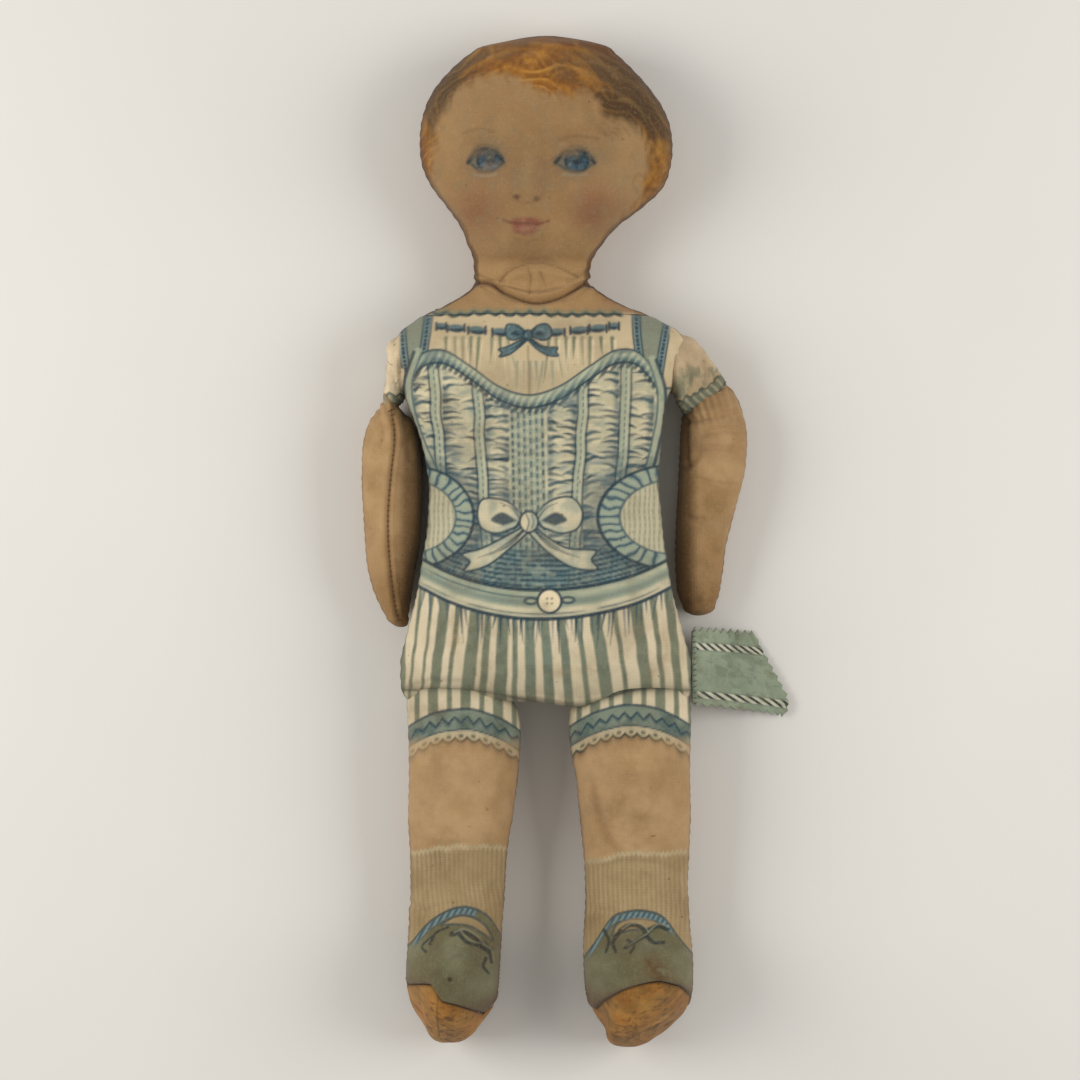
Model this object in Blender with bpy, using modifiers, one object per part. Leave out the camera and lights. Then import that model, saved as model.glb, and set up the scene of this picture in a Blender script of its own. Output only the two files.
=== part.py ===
"""A printed cloth rag doll, lying on its back.

Every stuffed piece is a pair of cut cloth panels, front and back, that meet
on a seam, round a core of stuffing. The doll's front faces +Z, its head is
toward +Y, its feet toward -Y and its own left hand toward +X. The origin is
on the flat of its back, where it rests.

All lengths are metres. A table whose name ends in shares gives its places as
shares of the named lengths of the piece that it shapes.
"""
from math import cos, pi, sin, sqrt

import bmesh
import bpy
from mathutils import Matrix, Vector

# Cloth, seams and clearances
CLOTH = 0.0007
SEAM_GAP = 0.0003
JOINT_GAP = 0.0004
STUFFING_GAP = 0.0008
CUT_MARGIN = 0.02
SECTION_POWER = 2.25

# Torso
TORSO_LENGTH = 0.2443
TORSO_BELOW_ORIGIN = 0.0889
TORSO_WIDTH = 0.1753
TORSO_DEPTH = 0.0720
TORSO_OFFSET = -0.0018
TORSO_SEAM_HEIGHT = 0.0340
TORSO_SIDES = 22

# Head and neck
HEAD_LENGTH = 0.1487
HEAD_WIDTH = 0.1527
HEAD_DEPTH = 0.0740
HEAD_OFFSET = -0.0003
HEAD_SEAM_HEIGHT = 0.0310
HEAD_SIDES = 22

# Armholes, sleeves and arms
ARMHOLE_LEFT = TORSO_OFFSET + 0.45864 * TORSO_WIDTH
ARMHOLE_RIGHT = 0.47747 * TORSO_WIDTH - TORSO_OFFSET
SHOULDER_DROP = 0.0272
ARMHOLE_LENGTH = 0.0500
ARMHOLE_CUT_SHARE = 0.7
SLEEVE_LEFT_REACH = 0.0308
SLEEVE_LEFT_LENGTH = 0.0502
SLEEVE_RIGHT_REACH = 0.0130
SLEEVE_RIGHT_LENGTH = 0.0478
SLEEVE_DEPTH = 0.0500
SLEEVE_SEAM_HEIGHT = 0.0235
SLEEVE_SIDES = 14
ARM_LEFT_DROP = 0.0302
ARM_LEFT_LENGTH = 0.1427
ARM_LEFT_REACH = 0.0435
ARM_LEFT_DEPTH = 0.0380
ARM_LEFT_SEAM_HEIGHT = 0.0150
ARM_RIGHT_DROP = 0.0447
ARM_RIGHT_LENGTH = 0.1348
ARM_RIGHT_REACH = 0.0260
ARM_RIGHT_DEPTH = 0.0460
ARM_RIGHT_SEAM_INSET = 0.0085
ARM_RIGHT_SEAM_TURN = 1.4
ARM_SIDES = 14

# Legs, feet and soles
LEG_LENGTH = 0.2140
LEG_LEFT_WIDTH = 0.0720
LEG_RIGHT_WIDTH = 0.0677
LEG_DEPTH = 0.0760
LEG_LEFT_OFFSET = 0.0508
LEG_RIGHT_OFFSET = -0.0496
LEG_SEAM_HEIGHT = 0.0260
LEG_SIDES = 18
SOLE_CLOTH = 0.0012
SOLE_TRIM = 0.0012

# Sewn cloth label at the left hip
LABEL_LENGTH = 0.0435
LABEL_REACH = 0.0640
LABEL_DROP = 0.0325
LABEL_CLOTH = 0.0008
LABEL_TOP_BELOW_ORIGIN = 0.0538
LABEL_GAP = 0.0006
LABEL_STEPS = 8
LABEL_SLIDE_SHARE = 0.14
LABEL_SKEW_SHARE = 0.12
LABEL_FLARE_SHARE = 0.25

# Each row is a section: how far along, the two edges across, the front and
# the back height, and, where there is a sixth, the lean of the section. A
# back height below 0 is pressed flat where the doll lies on it.
TORSO_SHARES = (
    (0.000, -0.483, 0.507, 0.760, 0.042),
    (0.025, -0.491, 0.510, 0.833, 0.007),
    (0.062, -0.491, 0.509, 0.910, -0.007),
    (0.124, -0.476, 0.490, 0.958, -0.007),
    (0.223, -0.441, 0.455, 0.972, -0.007),
    (0.322, -0.417, 0.428, 0.960, -0.007),
    (0.421, -0.398, 0.410, 0.950, -0.007),
    (0.520, -0.398, 0.400, 0.955, -0.007),
    (0.619, -0.424, 0.407, 0.986, -0.007),
    (0.705, -0.466, 0.421, 1.000, -0.007),
    (0.780, -0.507, 0.462, 0.980, -0.007),
    (0.842, -0.524, 0.493, 0.925, -0.007),
    (0.884, -0.493, 0.472, 0.850, -0.007),
    (0.921, -0.424, 0.383, 0.770, 0.007),
    (0.955, -0.328, 0.269, 0.700, 0.035),
    (0.983, -0.262, 0.200, 0.660, 0.069),
    (1.000, -0.238, 0.162, 0.646, 0.097),
)
HEAD_SHARES = (
    (0.055, -0.283, 0.172, 0.628, 0.095, -0.18),
    (0.092, -0.283, 0.176, 0.676, 0.074, -0.14),
    (0.132, -0.287, 0.188, 0.716, 0.054, -0.09),
    (0.180, -0.307, 0.224, 0.770, 0.027, -0.05),
    (0.236, -0.331, 0.279, 0.838, 0.007, 0.00),
    (0.309, -0.382, 0.374, 0.905, -0.007, 0.00),
    (0.390, -0.446, 0.461, 0.959, -0.007, 0.00),
    (0.488, -0.489, 0.497, 1.000, -0.007, 0.00),
    (0.585, -0.499, 0.501, 1.000, -0.007, 0.00),
    (0.687, -0.487, 0.481, 0.959, -0.007, 0.00),
    (0.789, -0.446, 0.422, 0.878, 0.000, 0.00),
    (0.870, -0.382, 0.354, 0.784, 0.034, 0.00),
    (0.935, -0.307, 0.287, 0.676, 0.095, 0.00),
    (0.976, -0.224, 0.224, 0.588, 0.162, 0.00),
    (0.998, -0.141, 0.149, 0.500, 0.257, 0.00),
)
LEG_RIGHT_SHARES = (
    (0.036, -0.520, 0.411, 0.717, 0.039, 0.142),
    (0.060, -0.515, 0.464, 0.737, 0.007, 0.13),
    (0.105, -0.509, 0.500, 0.757, -0.007, 0.10),
    (0.175, -0.500, 0.500, 0.763, -0.007, 0.05),
    (0.268, -0.500, 0.473, 0.737, -0.007, 0.00),
    (0.367, -0.496, 0.429, 0.697, -0.007, 0.00),
    (0.480, -0.487, 0.384, 0.651, -0.007, 0.00),
    (0.579, -0.482, 0.366, 0.645, -0.007, 0.02),
    (0.678, -0.491, 0.348, 0.684, -0.007, 0.13),
    (0.777, -0.513, 0.330, 0.789, -0.007, 0.30),
    (0.856, -0.522, 0.317, 0.908, -0.007, 0.42),
    (0.924, -0.500, 0.295, 0.987, -0.007, 0.49),
    (0.966, -0.455, 0.241, 1.000, 0.026, 0.52),
    (0.989, -0.393, 0.170, 0.961, 0.079, 0.52),
)
LEG_LEFT_SHARES = (
    (0.036, -0.480, 0.504, 0.717, 0.039, 0.142),
    (0.060, -0.504, 0.508, 0.737, 0.007, 0.13),
    (0.105, -0.513, 0.512, 0.757, -0.007, 0.10),
    (0.175, -0.496, 0.512, 0.763, -0.007, 0.05),
    (0.268, -0.445, 0.512, 0.737, -0.007, 0.00),
    (0.367, -0.412, 0.508, 0.697, -0.007, 0.00),
    (0.480, -0.387, 0.496, 0.651, -0.007, 0.00),
    (0.579, -0.378, 0.487, 0.645, -0.007, 0.02),
    (0.678, -0.387, 0.504, 0.684, -0.007, 0.13),
    (0.777, -0.395, 0.530, 0.789, -0.007, 0.30),
    (0.856, -0.387, 0.535, 0.908, -0.007, 0.42),
    (0.930, -0.353, 0.513, 0.987, -0.007, 0.49),
    (0.976, -0.286, 0.454, 1.000, 0.026, 0.52),
    (1.000, -0.210, 0.361, 0.961, 0.079, 0.52),
)

# Each row is a section of a sleeve or an arm: reach and drop of its inner
# edge, reach and drop of its outer edge, then the front and back heights.
SLEEVE_LEFT_SHARES = (
    (0.000, 0.780, 0.000, 0.012, 0.980, 0.380),
    (0.029, 0.855, 0.343, 0.084, 0.920, 0.180),
    (0.078, 0.925, 0.696, 0.337, 0.760, 0.040),
    (0.147, 0.995, 1.000, 0.602, 0.600, 0.020),
)
SLEEVE_RIGHT_SHARES = (
    (0.000, 0.820, 0.000, 0.038, 0.980, 0.380),
    (0.093, 0.880, 0.535, 0.089, 0.980, 0.240),
    (0.209, 0.930, 0.860, 0.443, 0.940, 0.160),
    (0.326, 0.950, 1.000, 0.890, 0.840, 0.140),
)
ARM_LEFT_SHARES = (
    (0.083, 0.195, 0.903, 0.081, 0.895, -0.013),
    (0.062, 0.271, 1.000, 0.199, 0.974, -0.013),
    (0.049, 0.386, 0.993, 0.347, 1.000, -0.013),
    (0.028, 0.538, 0.861, 0.525, 0.974, -0.013),
    (0.010, 0.695, 0.722, 0.695, 0.895, -0.013),
    (0.010, 0.831, 0.667, 0.831, 0.789, -0.013),
    (0.056, 0.924, 0.597, 0.924, 0.680, 0.030),
    (0.153, 0.975, 0.500, 0.975, 0.600, 0.120),
    (0.250, 0.998, 0.389, 0.998, 0.510, 0.250),
)
ARM_RIGHT_SHARES = (
    (-0.080, 0.085, 0.779, 0.076, 0.978, 0.022),
    (-0.190, 0.166, 0.930, 0.166, 1.000, -0.011),
    (-0.350, 0.314, 1.000, 0.314, 1.000, -0.011),
    (-0.390, 0.462, 0.977, 0.462, 0.978, -0.011),
    (-0.337, 0.628, 0.895, 0.628, 0.913, -0.011),
    (-0.198, 0.771, 0.721, 0.771, 0.840, -0.011),
    (-0.105, 0.892, 0.453, 0.892, 0.760, 0.060),
    (-0.047, 0.960, 0.267, 0.960, 0.680, 0.200),
    (-0.000, 0.996, 0.140, 0.996, 0.600, 0.360),
)

# Places that follow from the sizes above
TORSO_BOTTOM = -TORSO_BELOW_ORIGIN
TORSO_TOP = TORSO_BOTTOM + TORSO_LENGTH
SHOULDER_LINE = TORSO_TOP - SHOULDER_DROP
NECK_HEIGHT = TORSO_SHARES[-1][3] * TORSO_DEPTH
HIP_HEIGHT = LEG_LEFT_SHARES[0][3] * LEG_DEPTH
TORSO_LEFT_EDGE = TORSO_OFFSET + max(row[2] for row in TORSO_SHARES[:4]) * TORSO_WIDTH
ARMHOLE_CENTRE = SHOULDER_LINE - ARMHOLE_LENGTH / 2


def clear_scene():
    """Start from an empty scene."""
    for old in list(bpy.data.objects):
        bpy.data.objects.remove(old)


def new_collection(name):
    """Make a collection in the scene."""
    collection = bpy.data.collections.new(name)
    bpy.context.scene.collection.children.link(collection)
    return collection


def cloth_material(name, colour, roughness=0.9):
    """A matt cloth or stuffing material of one colour."""
    material = bpy.data.materials.new(name)
    material.use_nodes = True
    shader = material.node_tree.nodes["Principled BSDF"]
    shader.inputs["Base Color"].default_value = (*colour, 1)
    shader.inputs["Roughness"].default_value = roughness
    shader.inputs["Metallic"].default_value = 0
    return material


def signed_power(value, power):
    """A power that keeps the value's sign."""
    size = abs(value) ** power
    return size if value > 0 else -size


def section_ring(row, sides, seam, trim=0):
    """The points of one section, counter-clockwise from its right edge."""
    left, right, front, back, lean = row
    centre = (left + right) / 2
    half = (right - left) / 2
    half = half * (1 - trim / half.length)
    ring = []
    for step in range(sides):
        angle = 2 * pi * step / sides
        across = signed_power(cos(angle), 2 / SECTION_POWER)
        rise = signed_power(sin(angle), 2 / SECTION_POWER)
        reach = front - trim - seam if rise > 0 else seam - back - trim
        height = max(seam + rise * reach, trim)
        place = centre + half * across
        ring.append(Vector((place.x, place.y + lean * height, height)))
    return ring


def loft(name, rows, sides, seam, open_end=False):
    """A closed skin through a row of sections, capped at its ends."""
    skin = bmesh.new()
    rings = []
    for row in rows:
        ring = section_ring(row, sides, seam)
        rings.append([skin.verts.new(point) for point in ring])
    for lower, upper in zip(rings, rings[1:]):
        for step in range(sides):
            after = (step + 1) % sides
            skin.faces.new((lower[step], lower[after], upper[after], upper[step]))
    skin.faces.new(rings[0])
    if not open_end:
        skin.faces.new(rings[-1])
    bmesh.ops.recalc_face_normals(skin, faces=skin.faces)
    mesh = bpy.data.meshes.new(name)
    skin.to_mesh(mesh)
    skin.free()
    return mesh


def place_mesh(name, mesh, material, collection, origin):
    """Put a mesh in the scene with its object's origin on a joint or a seat."""
    mesh.transform(Matrix.Translation(-origin))
    mesh.materials.append(material)
    mesh.shade_smooth()
    mesh.set_sharp_from_angle(angle=pi / 4)
    part = bpy.data.objects.new(name, mesh)
    part.location = origin
    collection.objects.link(part)
    return part


def cutter_box(name, low, high, cutters, turn=None):
    """A box between two corners, kept as a cutter."""
    bpy.ops.mesh.primitive_cube_add(size=1)
    box = bpy.context.object
    box.name = name
    for holder in list(box.users_collection):
        holder.objects.unlink(box)
    cutters.objects.link(box)
    box.data.transform(Matrix.Diagonal((*(high - low), 1)))
    box.data.transform(Matrix.Translation((low + high) / 2))
    if turn is not None:
        box.data.transform(turn)
    box.hide_render = True
    box.display_type = "WIRE"
    return box


def cut(part, cutter):
    """Take a cutter out of a part."""
    step = part.modifiers.new("cut_" + cutter.name, "BOOLEAN")
    step.operation = "DIFFERENCE"
    step.solver = "EXACT"
    step.object = cutter


def cloth_wall(part):
    """Give a skin the thickness of its cloth, inward."""
    wall = part.modifiers.new("cloth", "SOLIDIFY")
    wall.thickness = CLOTH
    wall.offset = -1
    wall.use_even_offset = True


def draw_in(stuffing):
    """Draw a core in from the outer skin, to lie inside the cloth."""
    inside = stuffing.modifiers.new("inside_cloth", "DISPLACE")
    inside.direction = "NORMAL"
    inside.mid_level = 0
    inside.strength = -(CLOTH + STUFFING_GAP)


def seam_cutters(name, size, seam, cutters, turn=None):
    """The two halves of space on either side of a seam."""
    half = size + CUT_MARGIN
    above = cutter_box(
        name + "_above_seam",
        Vector((-half, -half, seam - SEAM_GAP / 2)),
        Vector((half, half, seam + half)),
        cutters,
        turn,
    )
    below = cutter_box(
        name + "_below_seam",
        Vector((-half, -half, seam - half)),
        Vector((half, half, seam + SEAM_GAP / 2)),
        cutters,
        turn,
    )
    return above, below


def stuffed_piece(name, rows, sides, seam, origin, halves, looks, doll, open_end=False, cuts=()):
    """Front panel, back panel and stuffing of one stuffed piece."""
    cloth, core = looks
    above, below = halves
    for side, half in (("front", below), ("back", above)):
        mesh = loft(name, rows, sides, seam, open_end=open_end)
        panel = place_mesh(f"{name}_{side}_cloth", mesh, cloth, doll, origin)
        cloth_wall(panel)
        for cutter in (*cuts, half):
            cut(panel, cutter)
    mesh = loft(name, rows, sides, seam)
    stuffing = place_mesh(f"{name}_stuffing", mesh, core, doll, origin)
    draw_in(stuffing)
    for cutter in cuts:
        cut(stuffing, cutter)


def body_rows(shares, base, length, offset, width, depth):
    """Sections of the torso, the head or a leg, from their shares."""
    rows = []
    for share in shares:
        along, low, high, front, back = share[:5]
        lean = share[5] if len(share) > 5 else 0
        place = base + along * length
        left = Vector((offset + low * width, place, 0))
        right = Vector((offset + high * width, place, 0))
        rows.append((left, right, front * depth, back * depth, lean))
    return rows


def limb_rows(shares, side, armhole, size):
    """Sections of a sleeve or an arm, from the armhole outward."""
    reach, drop, length, depth = size
    top = SHOULDER_LINE - drop
    rows = []
    for inner, inner_drop, outer, outer_drop, front, back in shares:
        near = Vector((side * (armhole + inner * reach), top - inner_drop * length, 0))
        far = Vector((side * (armhole + outer * reach), top - outer_drop * length, 0))
        left, right = (near, far) if side > 0 else (far, near)
        rows.append((left, right, front * depth, back * depth, 0))
    return rows


def below_hem(hem):
    """The first section of an arm: the sleeve's hem, one joint gap away."""
    left, right, front, back, lean = hem
    across = (right - left).normalized()
    away = Vector((across.y, -across.x, 0)) * JOINT_GAP
    return (left + away, right + away, front, back, lean)


def make_torso(looks, doll, cutters):
    """The torso, cut flat where the sleeves are sewn to it."""
    rows = body_rows(
        TORSO_SHARES, TORSO_BOTTOM, TORSO_LENGTH, TORSO_OFFSET, TORSO_WIDTH, TORSO_DEPTH
    )
    halves = seam_cutters("torso", TORSO_LENGTH, TORSO_SEAM_HEIGHT, cutters)
    above = ARMHOLE_CENTRE + ARMHOLE_LENGTH * ARMHOLE_CUT_SHARE
    below = ARMHOLE_CENTRE - ARMHOLE_LENGTH * ARMHOLE_CUT_SHARE
    cuts = []
    for side, armhole, name in ((1, ARMHOLE_LEFT, "left"), (-1, ARMHOLE_RIGHT, "right")):
        near = side * (armhole - JOINT_GAP)
        far = side * (armhole + TORSO_WIDTH)
        low = Vector((min(near, far), below, -CUT_MARGIN))
        high = Vector((max(near, far), above, TORSO_DEPTH + CUT_MARGIN))
        cuts.append(cutter_box(f"{name}_armhole", low, high, cutters))
    stuffed_piece(
        "torso", rows, TORSO_SIDES, TORSO_SEAM_HEIGHT, Vector(), halves, looks, doll, cuts=cuts
    )


def make_head(looks, doll, cutters):
    """The head and neck, hinged on the crease at the front of the neck."""
    base = TORSO_TOP + JOINT_GAP
    first = HEAD_SHARES[0]
    rows = body_rows(HEAD_SHARES, base, HEAD_LENGTH, HEAD_OFFSET, HEAD_WIDTH, HEAD_DEPTH)
    shift = base - (rows[0][0].y + first[5] * rows[0][2])
    rows = [(a + Vector((0, shift, 0)), b + Vector((0, shift, 0)), f, k, n) for a, b, f, k, n in rows]
    halves = seam_cutters("head", HEAD_LENGTH + TORSO_LENGTH, HEAD_SEAM_HEIGHT, cutters)
    crease = Vector((HEAD_OFFSET, TORSO_TOP + JOINT_GAP / 2, NECK_HEIGHT))
    stuffed_piece("head", rows, HEAD_SIDES, HEAD_SEAM_HEIGHT, crease, halves, looks, doll)


def make_leg(name, shares, offset, width, looks, sole_look, doll, cutters):
    """A leg with its raised foot, hinged on the crease at the hip."""
    rows = body_rows(shares, 0, -LEG_LENGTH, offset, width, LEG_DEPTH)
    top = TORSO_BOTTOM - JOINT_GAP
    shift = Vector((0, top - (rows[0][0].y + rows[0][4] * rows[0][2]), 0))
    rows = [(a + shift, b + shift, f, k, n) for a, b, f, k, n in rows]
    halves = seam_cutters(name, LEG_LENGTH + TORSO_LENGTH, LEG_SEAM_HEIGHT, cutters)
    crease = Vector((offset, TORSO_BOTTOM - JOINT_GAP / 2, HIP_HEIGHT))
    stuffed_piece(
        name, rows, LEG_SIDES, LEG_SEAM_HEIGHT, crease, halves, looks, doll, open_end=True
    )
    make_sole(name.replace("leg", "sole"), rows[-1], crease, sole_look, doll)


def make_sole(name, last, crease, look, doll):
    """The oval of cloth that closes a foot, seated on its open end."""
    left, right, front, back, lean = last
    away = Vector((0, -1, lean)).normalized()
    inner = section_ring((left, right, front, back, lean), LEG_SIDES, LEG_SEAM_HEIGHT, SOLE_TRIM)
    plate = bmesh.new()
    near = [plate.verts.new(point + away * SEAM_GAP) for point in inner]
    far = [plate.verts.new(point + away * (SEAM_GAP + SOLE_CLOTH)) for point in inner]
    for step in range(LEG_SIDES):
        after = (step + 1) % LEG_SIDES
        plate.faces.new((near[step], near[after], far[after], far[step]))
    plate.faces.new(near)
    plate.faces.new(far)
    bmesh.ops.recalc_face_normals(plate, faces=plate.faces)
    mesh = bpy.data.meshes.new(name)
    plate.to_mesh(mesh)
    plate.free()
    place_mesh(name, mesh, look, doll, crease)


def make_arm(name, side, armhole, sleeve, arm, seam_halves, looks, doll, cutters):
    """A sleeve that swings at its armhole, and the arm that hangs from its hem."""
    sleeve_shares, sleeve_size = sleeve
    arm_shares, arm_size, arm_seam = arm
    cap = limb_rows(sleeve_shares, side, armhole, sleeve_size)
    shoulder = Vector((side * armhole, ARMHOLE_CENTRE, TORSO_SEAM_HEIGHT))
    halves = seam_cutters(f"{name}_sleeve", TORSO_LENGTH, SLEEVE_SEAM_HEIGHT, cutters)
    stuffed_piece(
        f"{name}_sleeve", cap, SLEEVE_SIDES, SLEEVE_SEAM_HEIGHT, shoulder, halves, looks, doll
    )
    start = below_hem(cap[-1])
    rows = [start] + limb_rows(arm_shares, side, armhole, arm_size)
    outer = start[1] if side > 0 else start[0]
    stuffed_piece(f"{name}_arm", rows, ARM_SIDES, arm_seam, outer, seam_halves, looks, doll)


def make_label(look, doll):
    """The cloth label sewn in the side seam, drooping to what the doll lies on."""
    top = -LABEL_TOP_BELOW_ORIGIN
    near_top = Vector((TORSO_LEFT_EDGE + LABEL_GAP, top, TORSO_SEAM_HEIGHT))
    near_low = near_top - Vector((0, LABEL_LENGTH, 0))
    sheet = bmesh.new()
    grid = []
    for out in range(LABEL_STEPS + 1):
        share = out / LABEL_STEPS
        fall = LABEL_DROP * (1 - (1 - share) ** 2)
        reach = LABEL_REACH * sqrt(max(0, share ** 2 - (LABEL_DROP / LABEL_REACH * share) ** 2))
        column = []
        for down in range(LABEL_STEPS + 1):
            along = down / LABEL_STEPS
            start = near_top.lerp(near_low, along)
            slide = LABEL_LENGTH * LABEL_SLIDE_SHARE * share * along
            skew = reach * LABEL_SKEW_SHARE * along
            flare = 1 + LABEL_FLARE_SHARE * (along - 0.5)
            column.append(sheet.verts.new(start + Vector((reach * flare, -slide - skew, -fall))))
        grid.append(column)
    for first, second in zip(grid, grid[1:]):
        for step in range(LABEL_STEPS):
            sheet.faces.new((first[step], second[step], second[step + 1], first[step + 1]))
    bmesh.ops.recalc_face_normals(sheet, faces=sheet.faces)
    mesh = bpy.data.meshes.new("label")
    sheet.to_mesh(mesh)
    sheet.free()
    label = place_mesh("hip_label", mesh, look, doll, near_top)
    wall = label.modifiers.new("cloth", "SOLIDIFY")
    wall.thickness = LABEL_CLOTH
    wall.offset = 0


def main():
    clear_scene()
    doll = new_collection("rag_doll")
    cutters = new_collection("cutters")
    core = cloth_material("stuffing", (0.72, 0.66, 0.55), 0.95)
    skin = cloth_material("skin_cloth", (0.47, 0.28, 0.15))
    print_cloth = cloth_material("printed_cloth", (0.42, 0.45, 0.39))
    sleeve_cloth = cloth_material("sleeve_cloth", (0.62, 0.52, 0.38))
    sole_cloth = cloth_material("sole_cloth", (0.42, 0.24, 0.10))
    label_cloth = cloth_material("label_cloth", (0.33, 0.42, 0.34))

    make_torso((print_cloth, core), doll, cutters)
    make_head((skin, core), doll, cutters)
    make_leg(
        "left_leg", LEG_LEFT_SHARES, LEG_LEFT_OFFSET, LEG_LEFT_WIDTH,
        (skin, core), sole_cloth, doll, cutters,
    )
    make_leg(
        "right_leg", LEG_RIGHT_SHARES, LEG_RIGHT_OFFSET, LEG_RIGHT_WIDTH,
        (skin, core), sole_cloth, doll, cutters,
    )
    flat_seam = seam_cutters("left_arm", TORSO_LENGTH, ARM_LEFT_SEAM_HEIGHT, cutters)
    make_arm(
        "left", 1, ARMHOLE_LEFT,
        (SLEEVE_LEFT_SHARES, (SLEEVE_LEFT_REACH, 0, SLEEVE_LEFT_LENGTH, SLEEVE_DEPTH)),
        (ARM_LEFT_SHARES, (ARM_LEFT_REACH, ARM_LEFT_DROP, ARM_LEFT_LENGTH, ARM_LEFT_DEPTH),
         ARM_LEFT_SEAM_HEIGHT),
        flat_seam, (skin, core), doll, cutters,
    )
    seam_place = Vector((-ARMHOLE_RIGHT - ARM_RIGHT_SEAM_INSET, 0, ARM_RIGHT_DEPTH / 2))
    turn = Matrix.Translation(seam_place) @ Matrix.Rotation(-ARM_RIGHT_SEAM_TURN, 4, "Y")
    turned_seam = seam_cutters("right_arm", TORSO_LENGTH, 0, cutters, turn)
    make_arm(
        "right", -1, ARMHOLE_RIGHT,
        (SLEEVE_RIGHT_SHARES, (SLEEVE_RIGHT_REACH, 0, SLEEVE_RIGHT_LENGTH, SLEEVE_DEPTH)),
        (ARM_RIGHT_SHARES, (ARM_RIGHT_REACH, ARM_RIGHT_DROP, ARM_RIGHT_LENGTH, ARM_RIGHT_DEPTH),
         ARM_RIGHT_DEPTH / 2),
        turned_seam, (skin, core), doll, cutters,
    )
    make_label(label_cloth, doll)


main()
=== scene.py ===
"""A printed cloth rag doll, lying on its back on a pale floor.

The doll's front faces +Z, its head is toward +Y and its own left hand toward
+X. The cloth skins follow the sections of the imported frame, with their folds,
seams and printed colours added. Lengths are metres. The prints are drawn in
squares of the printed sheet, counted from its top left corner.
"""

from math import cos, pi, sin

import bpy
import numpy as np
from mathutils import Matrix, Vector


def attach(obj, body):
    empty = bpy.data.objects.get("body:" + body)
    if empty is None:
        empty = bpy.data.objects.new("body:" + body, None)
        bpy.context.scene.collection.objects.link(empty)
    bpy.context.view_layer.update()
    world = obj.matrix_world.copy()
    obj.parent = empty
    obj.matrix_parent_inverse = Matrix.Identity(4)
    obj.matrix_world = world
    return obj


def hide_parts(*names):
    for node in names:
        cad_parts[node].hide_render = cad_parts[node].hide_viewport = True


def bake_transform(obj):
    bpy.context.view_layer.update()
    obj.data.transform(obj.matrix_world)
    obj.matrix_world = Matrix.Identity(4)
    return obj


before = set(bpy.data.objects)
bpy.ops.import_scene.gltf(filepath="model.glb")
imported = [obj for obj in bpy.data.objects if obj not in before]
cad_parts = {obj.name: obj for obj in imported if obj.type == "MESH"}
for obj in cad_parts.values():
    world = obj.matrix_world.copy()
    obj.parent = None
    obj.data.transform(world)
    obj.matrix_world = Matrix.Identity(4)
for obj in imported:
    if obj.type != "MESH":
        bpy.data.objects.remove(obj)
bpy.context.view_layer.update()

# The printed sheet: the side of one square, and the middle of the sheet
SQUARE = 0.0006046
SHEET_MIDDLE = (540.0, 540.0)
MIDDLE_X = -0.00363
MIDDLE_Y = 0.00181
PRINT_HEIGHT = 0.034
VIEW_DISTANCE = 2.1
SECTION_POWER = 2.25
JOINT_GAP = 0.0004
NECK_EDGE = 0.1368
NECK_OVER_TORSO = 0.00012

# Sizes of the stuffed pieces, as the frame has them
TORSO_LENGTH = 0.2443
TORSO_BOTTOM = -0.0889
TORSO_TOP = TORSO_BOTTOM + TORSO_LENGTH
TORSO_WIDTH = 0.1753
TORSO_DEPTH = 0.072
TORSO_OFFSET = -0.0018
TORSO_SEAM = 0.034
HEAD_LENGTH = 0.1487
HEAD_WIDTH = 0.1527
HEAD_DEPTH = 0.074
HEAD_OFFSET = -0.0003
HEAD_SEAM = 0.031
ARMHOLE_LEFT = 0.0786
ARMHOLE_RIGHT = 0.0855
SHOULDER_LINE = TORSO_TOP - 0.0272
SLEEVE_SEAM = 0.0235
SLEEVE_LEFT_SIZE = (0.0308, 0, 0.0502, 0.05)
SLEEVE_RIGHT_SIZE = (0.013, 0, 0.0478, 0.05)
ARM_LEFT_SIZE = (0.0435, 0.0302, 0.1427, 0.038)
ARM_RIGHT_SIZE = (0.026, 0.0447, 0.1348, 0.046)
ARM_LEFT_SEAM = 0.015
ARM_RIGHT_SEAM = 0.023
LEG_LENGTH = 0.214
LEG_LEFT_WIDTH = 0.072
LEG_RIGHT_WIDTH = 0.0677
LEG_DEPTH = 0.076
LEG_LEFT_OFFSET = 0.0508
LEG_RIGHT_OFFSET = -0.0496
LEG_SEAM = 0.026

# Each row is a section: how far along, the two edges across, the front and
# the back height, and, where there is a sixth, the lean of the section.
TORSO_SHARES = (
    (0.0, -0.483, 0.507, 0.76, 0.042), (0.025, -0.491, 0.51, 0.833, 0.007),
    (0.062, -0.491, 0.509, 0.91, -0.007), (0.124, -0.476, 0.49, 0.958, -0.007),
    (0.223, -0.441, 0.455, 0.972, -0.007), (0.322, -0.417, 0.428, 0.96, -0.007),
    (0.421, -0.398, 0.41, 0.95, -0.007), (0.52, -0.398, 0.4, 0.955, -0.007),
    (0.619, -0.424, 0.407, 0.986, -0.007), (0.705, -0.466, 0.421, 1.0, -0.007),
    (0.78, -0.507, 0.462, 0.98, -0.007), (0.842, -0.524, 0.493, 0.925, -0.007),
    (0.884, -0.493, 0.472, 0.85, -0.007), (0.921, -0.424, 0.383, 0.77, 0.007),
    (0.955, -0.328, 0.269, 0.7, 0.035), (0.983, -0.262, 0.2, 0.66, 0.069),
    (1.0, -0.238, 0.162, 0.646, 0.097),
)
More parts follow.
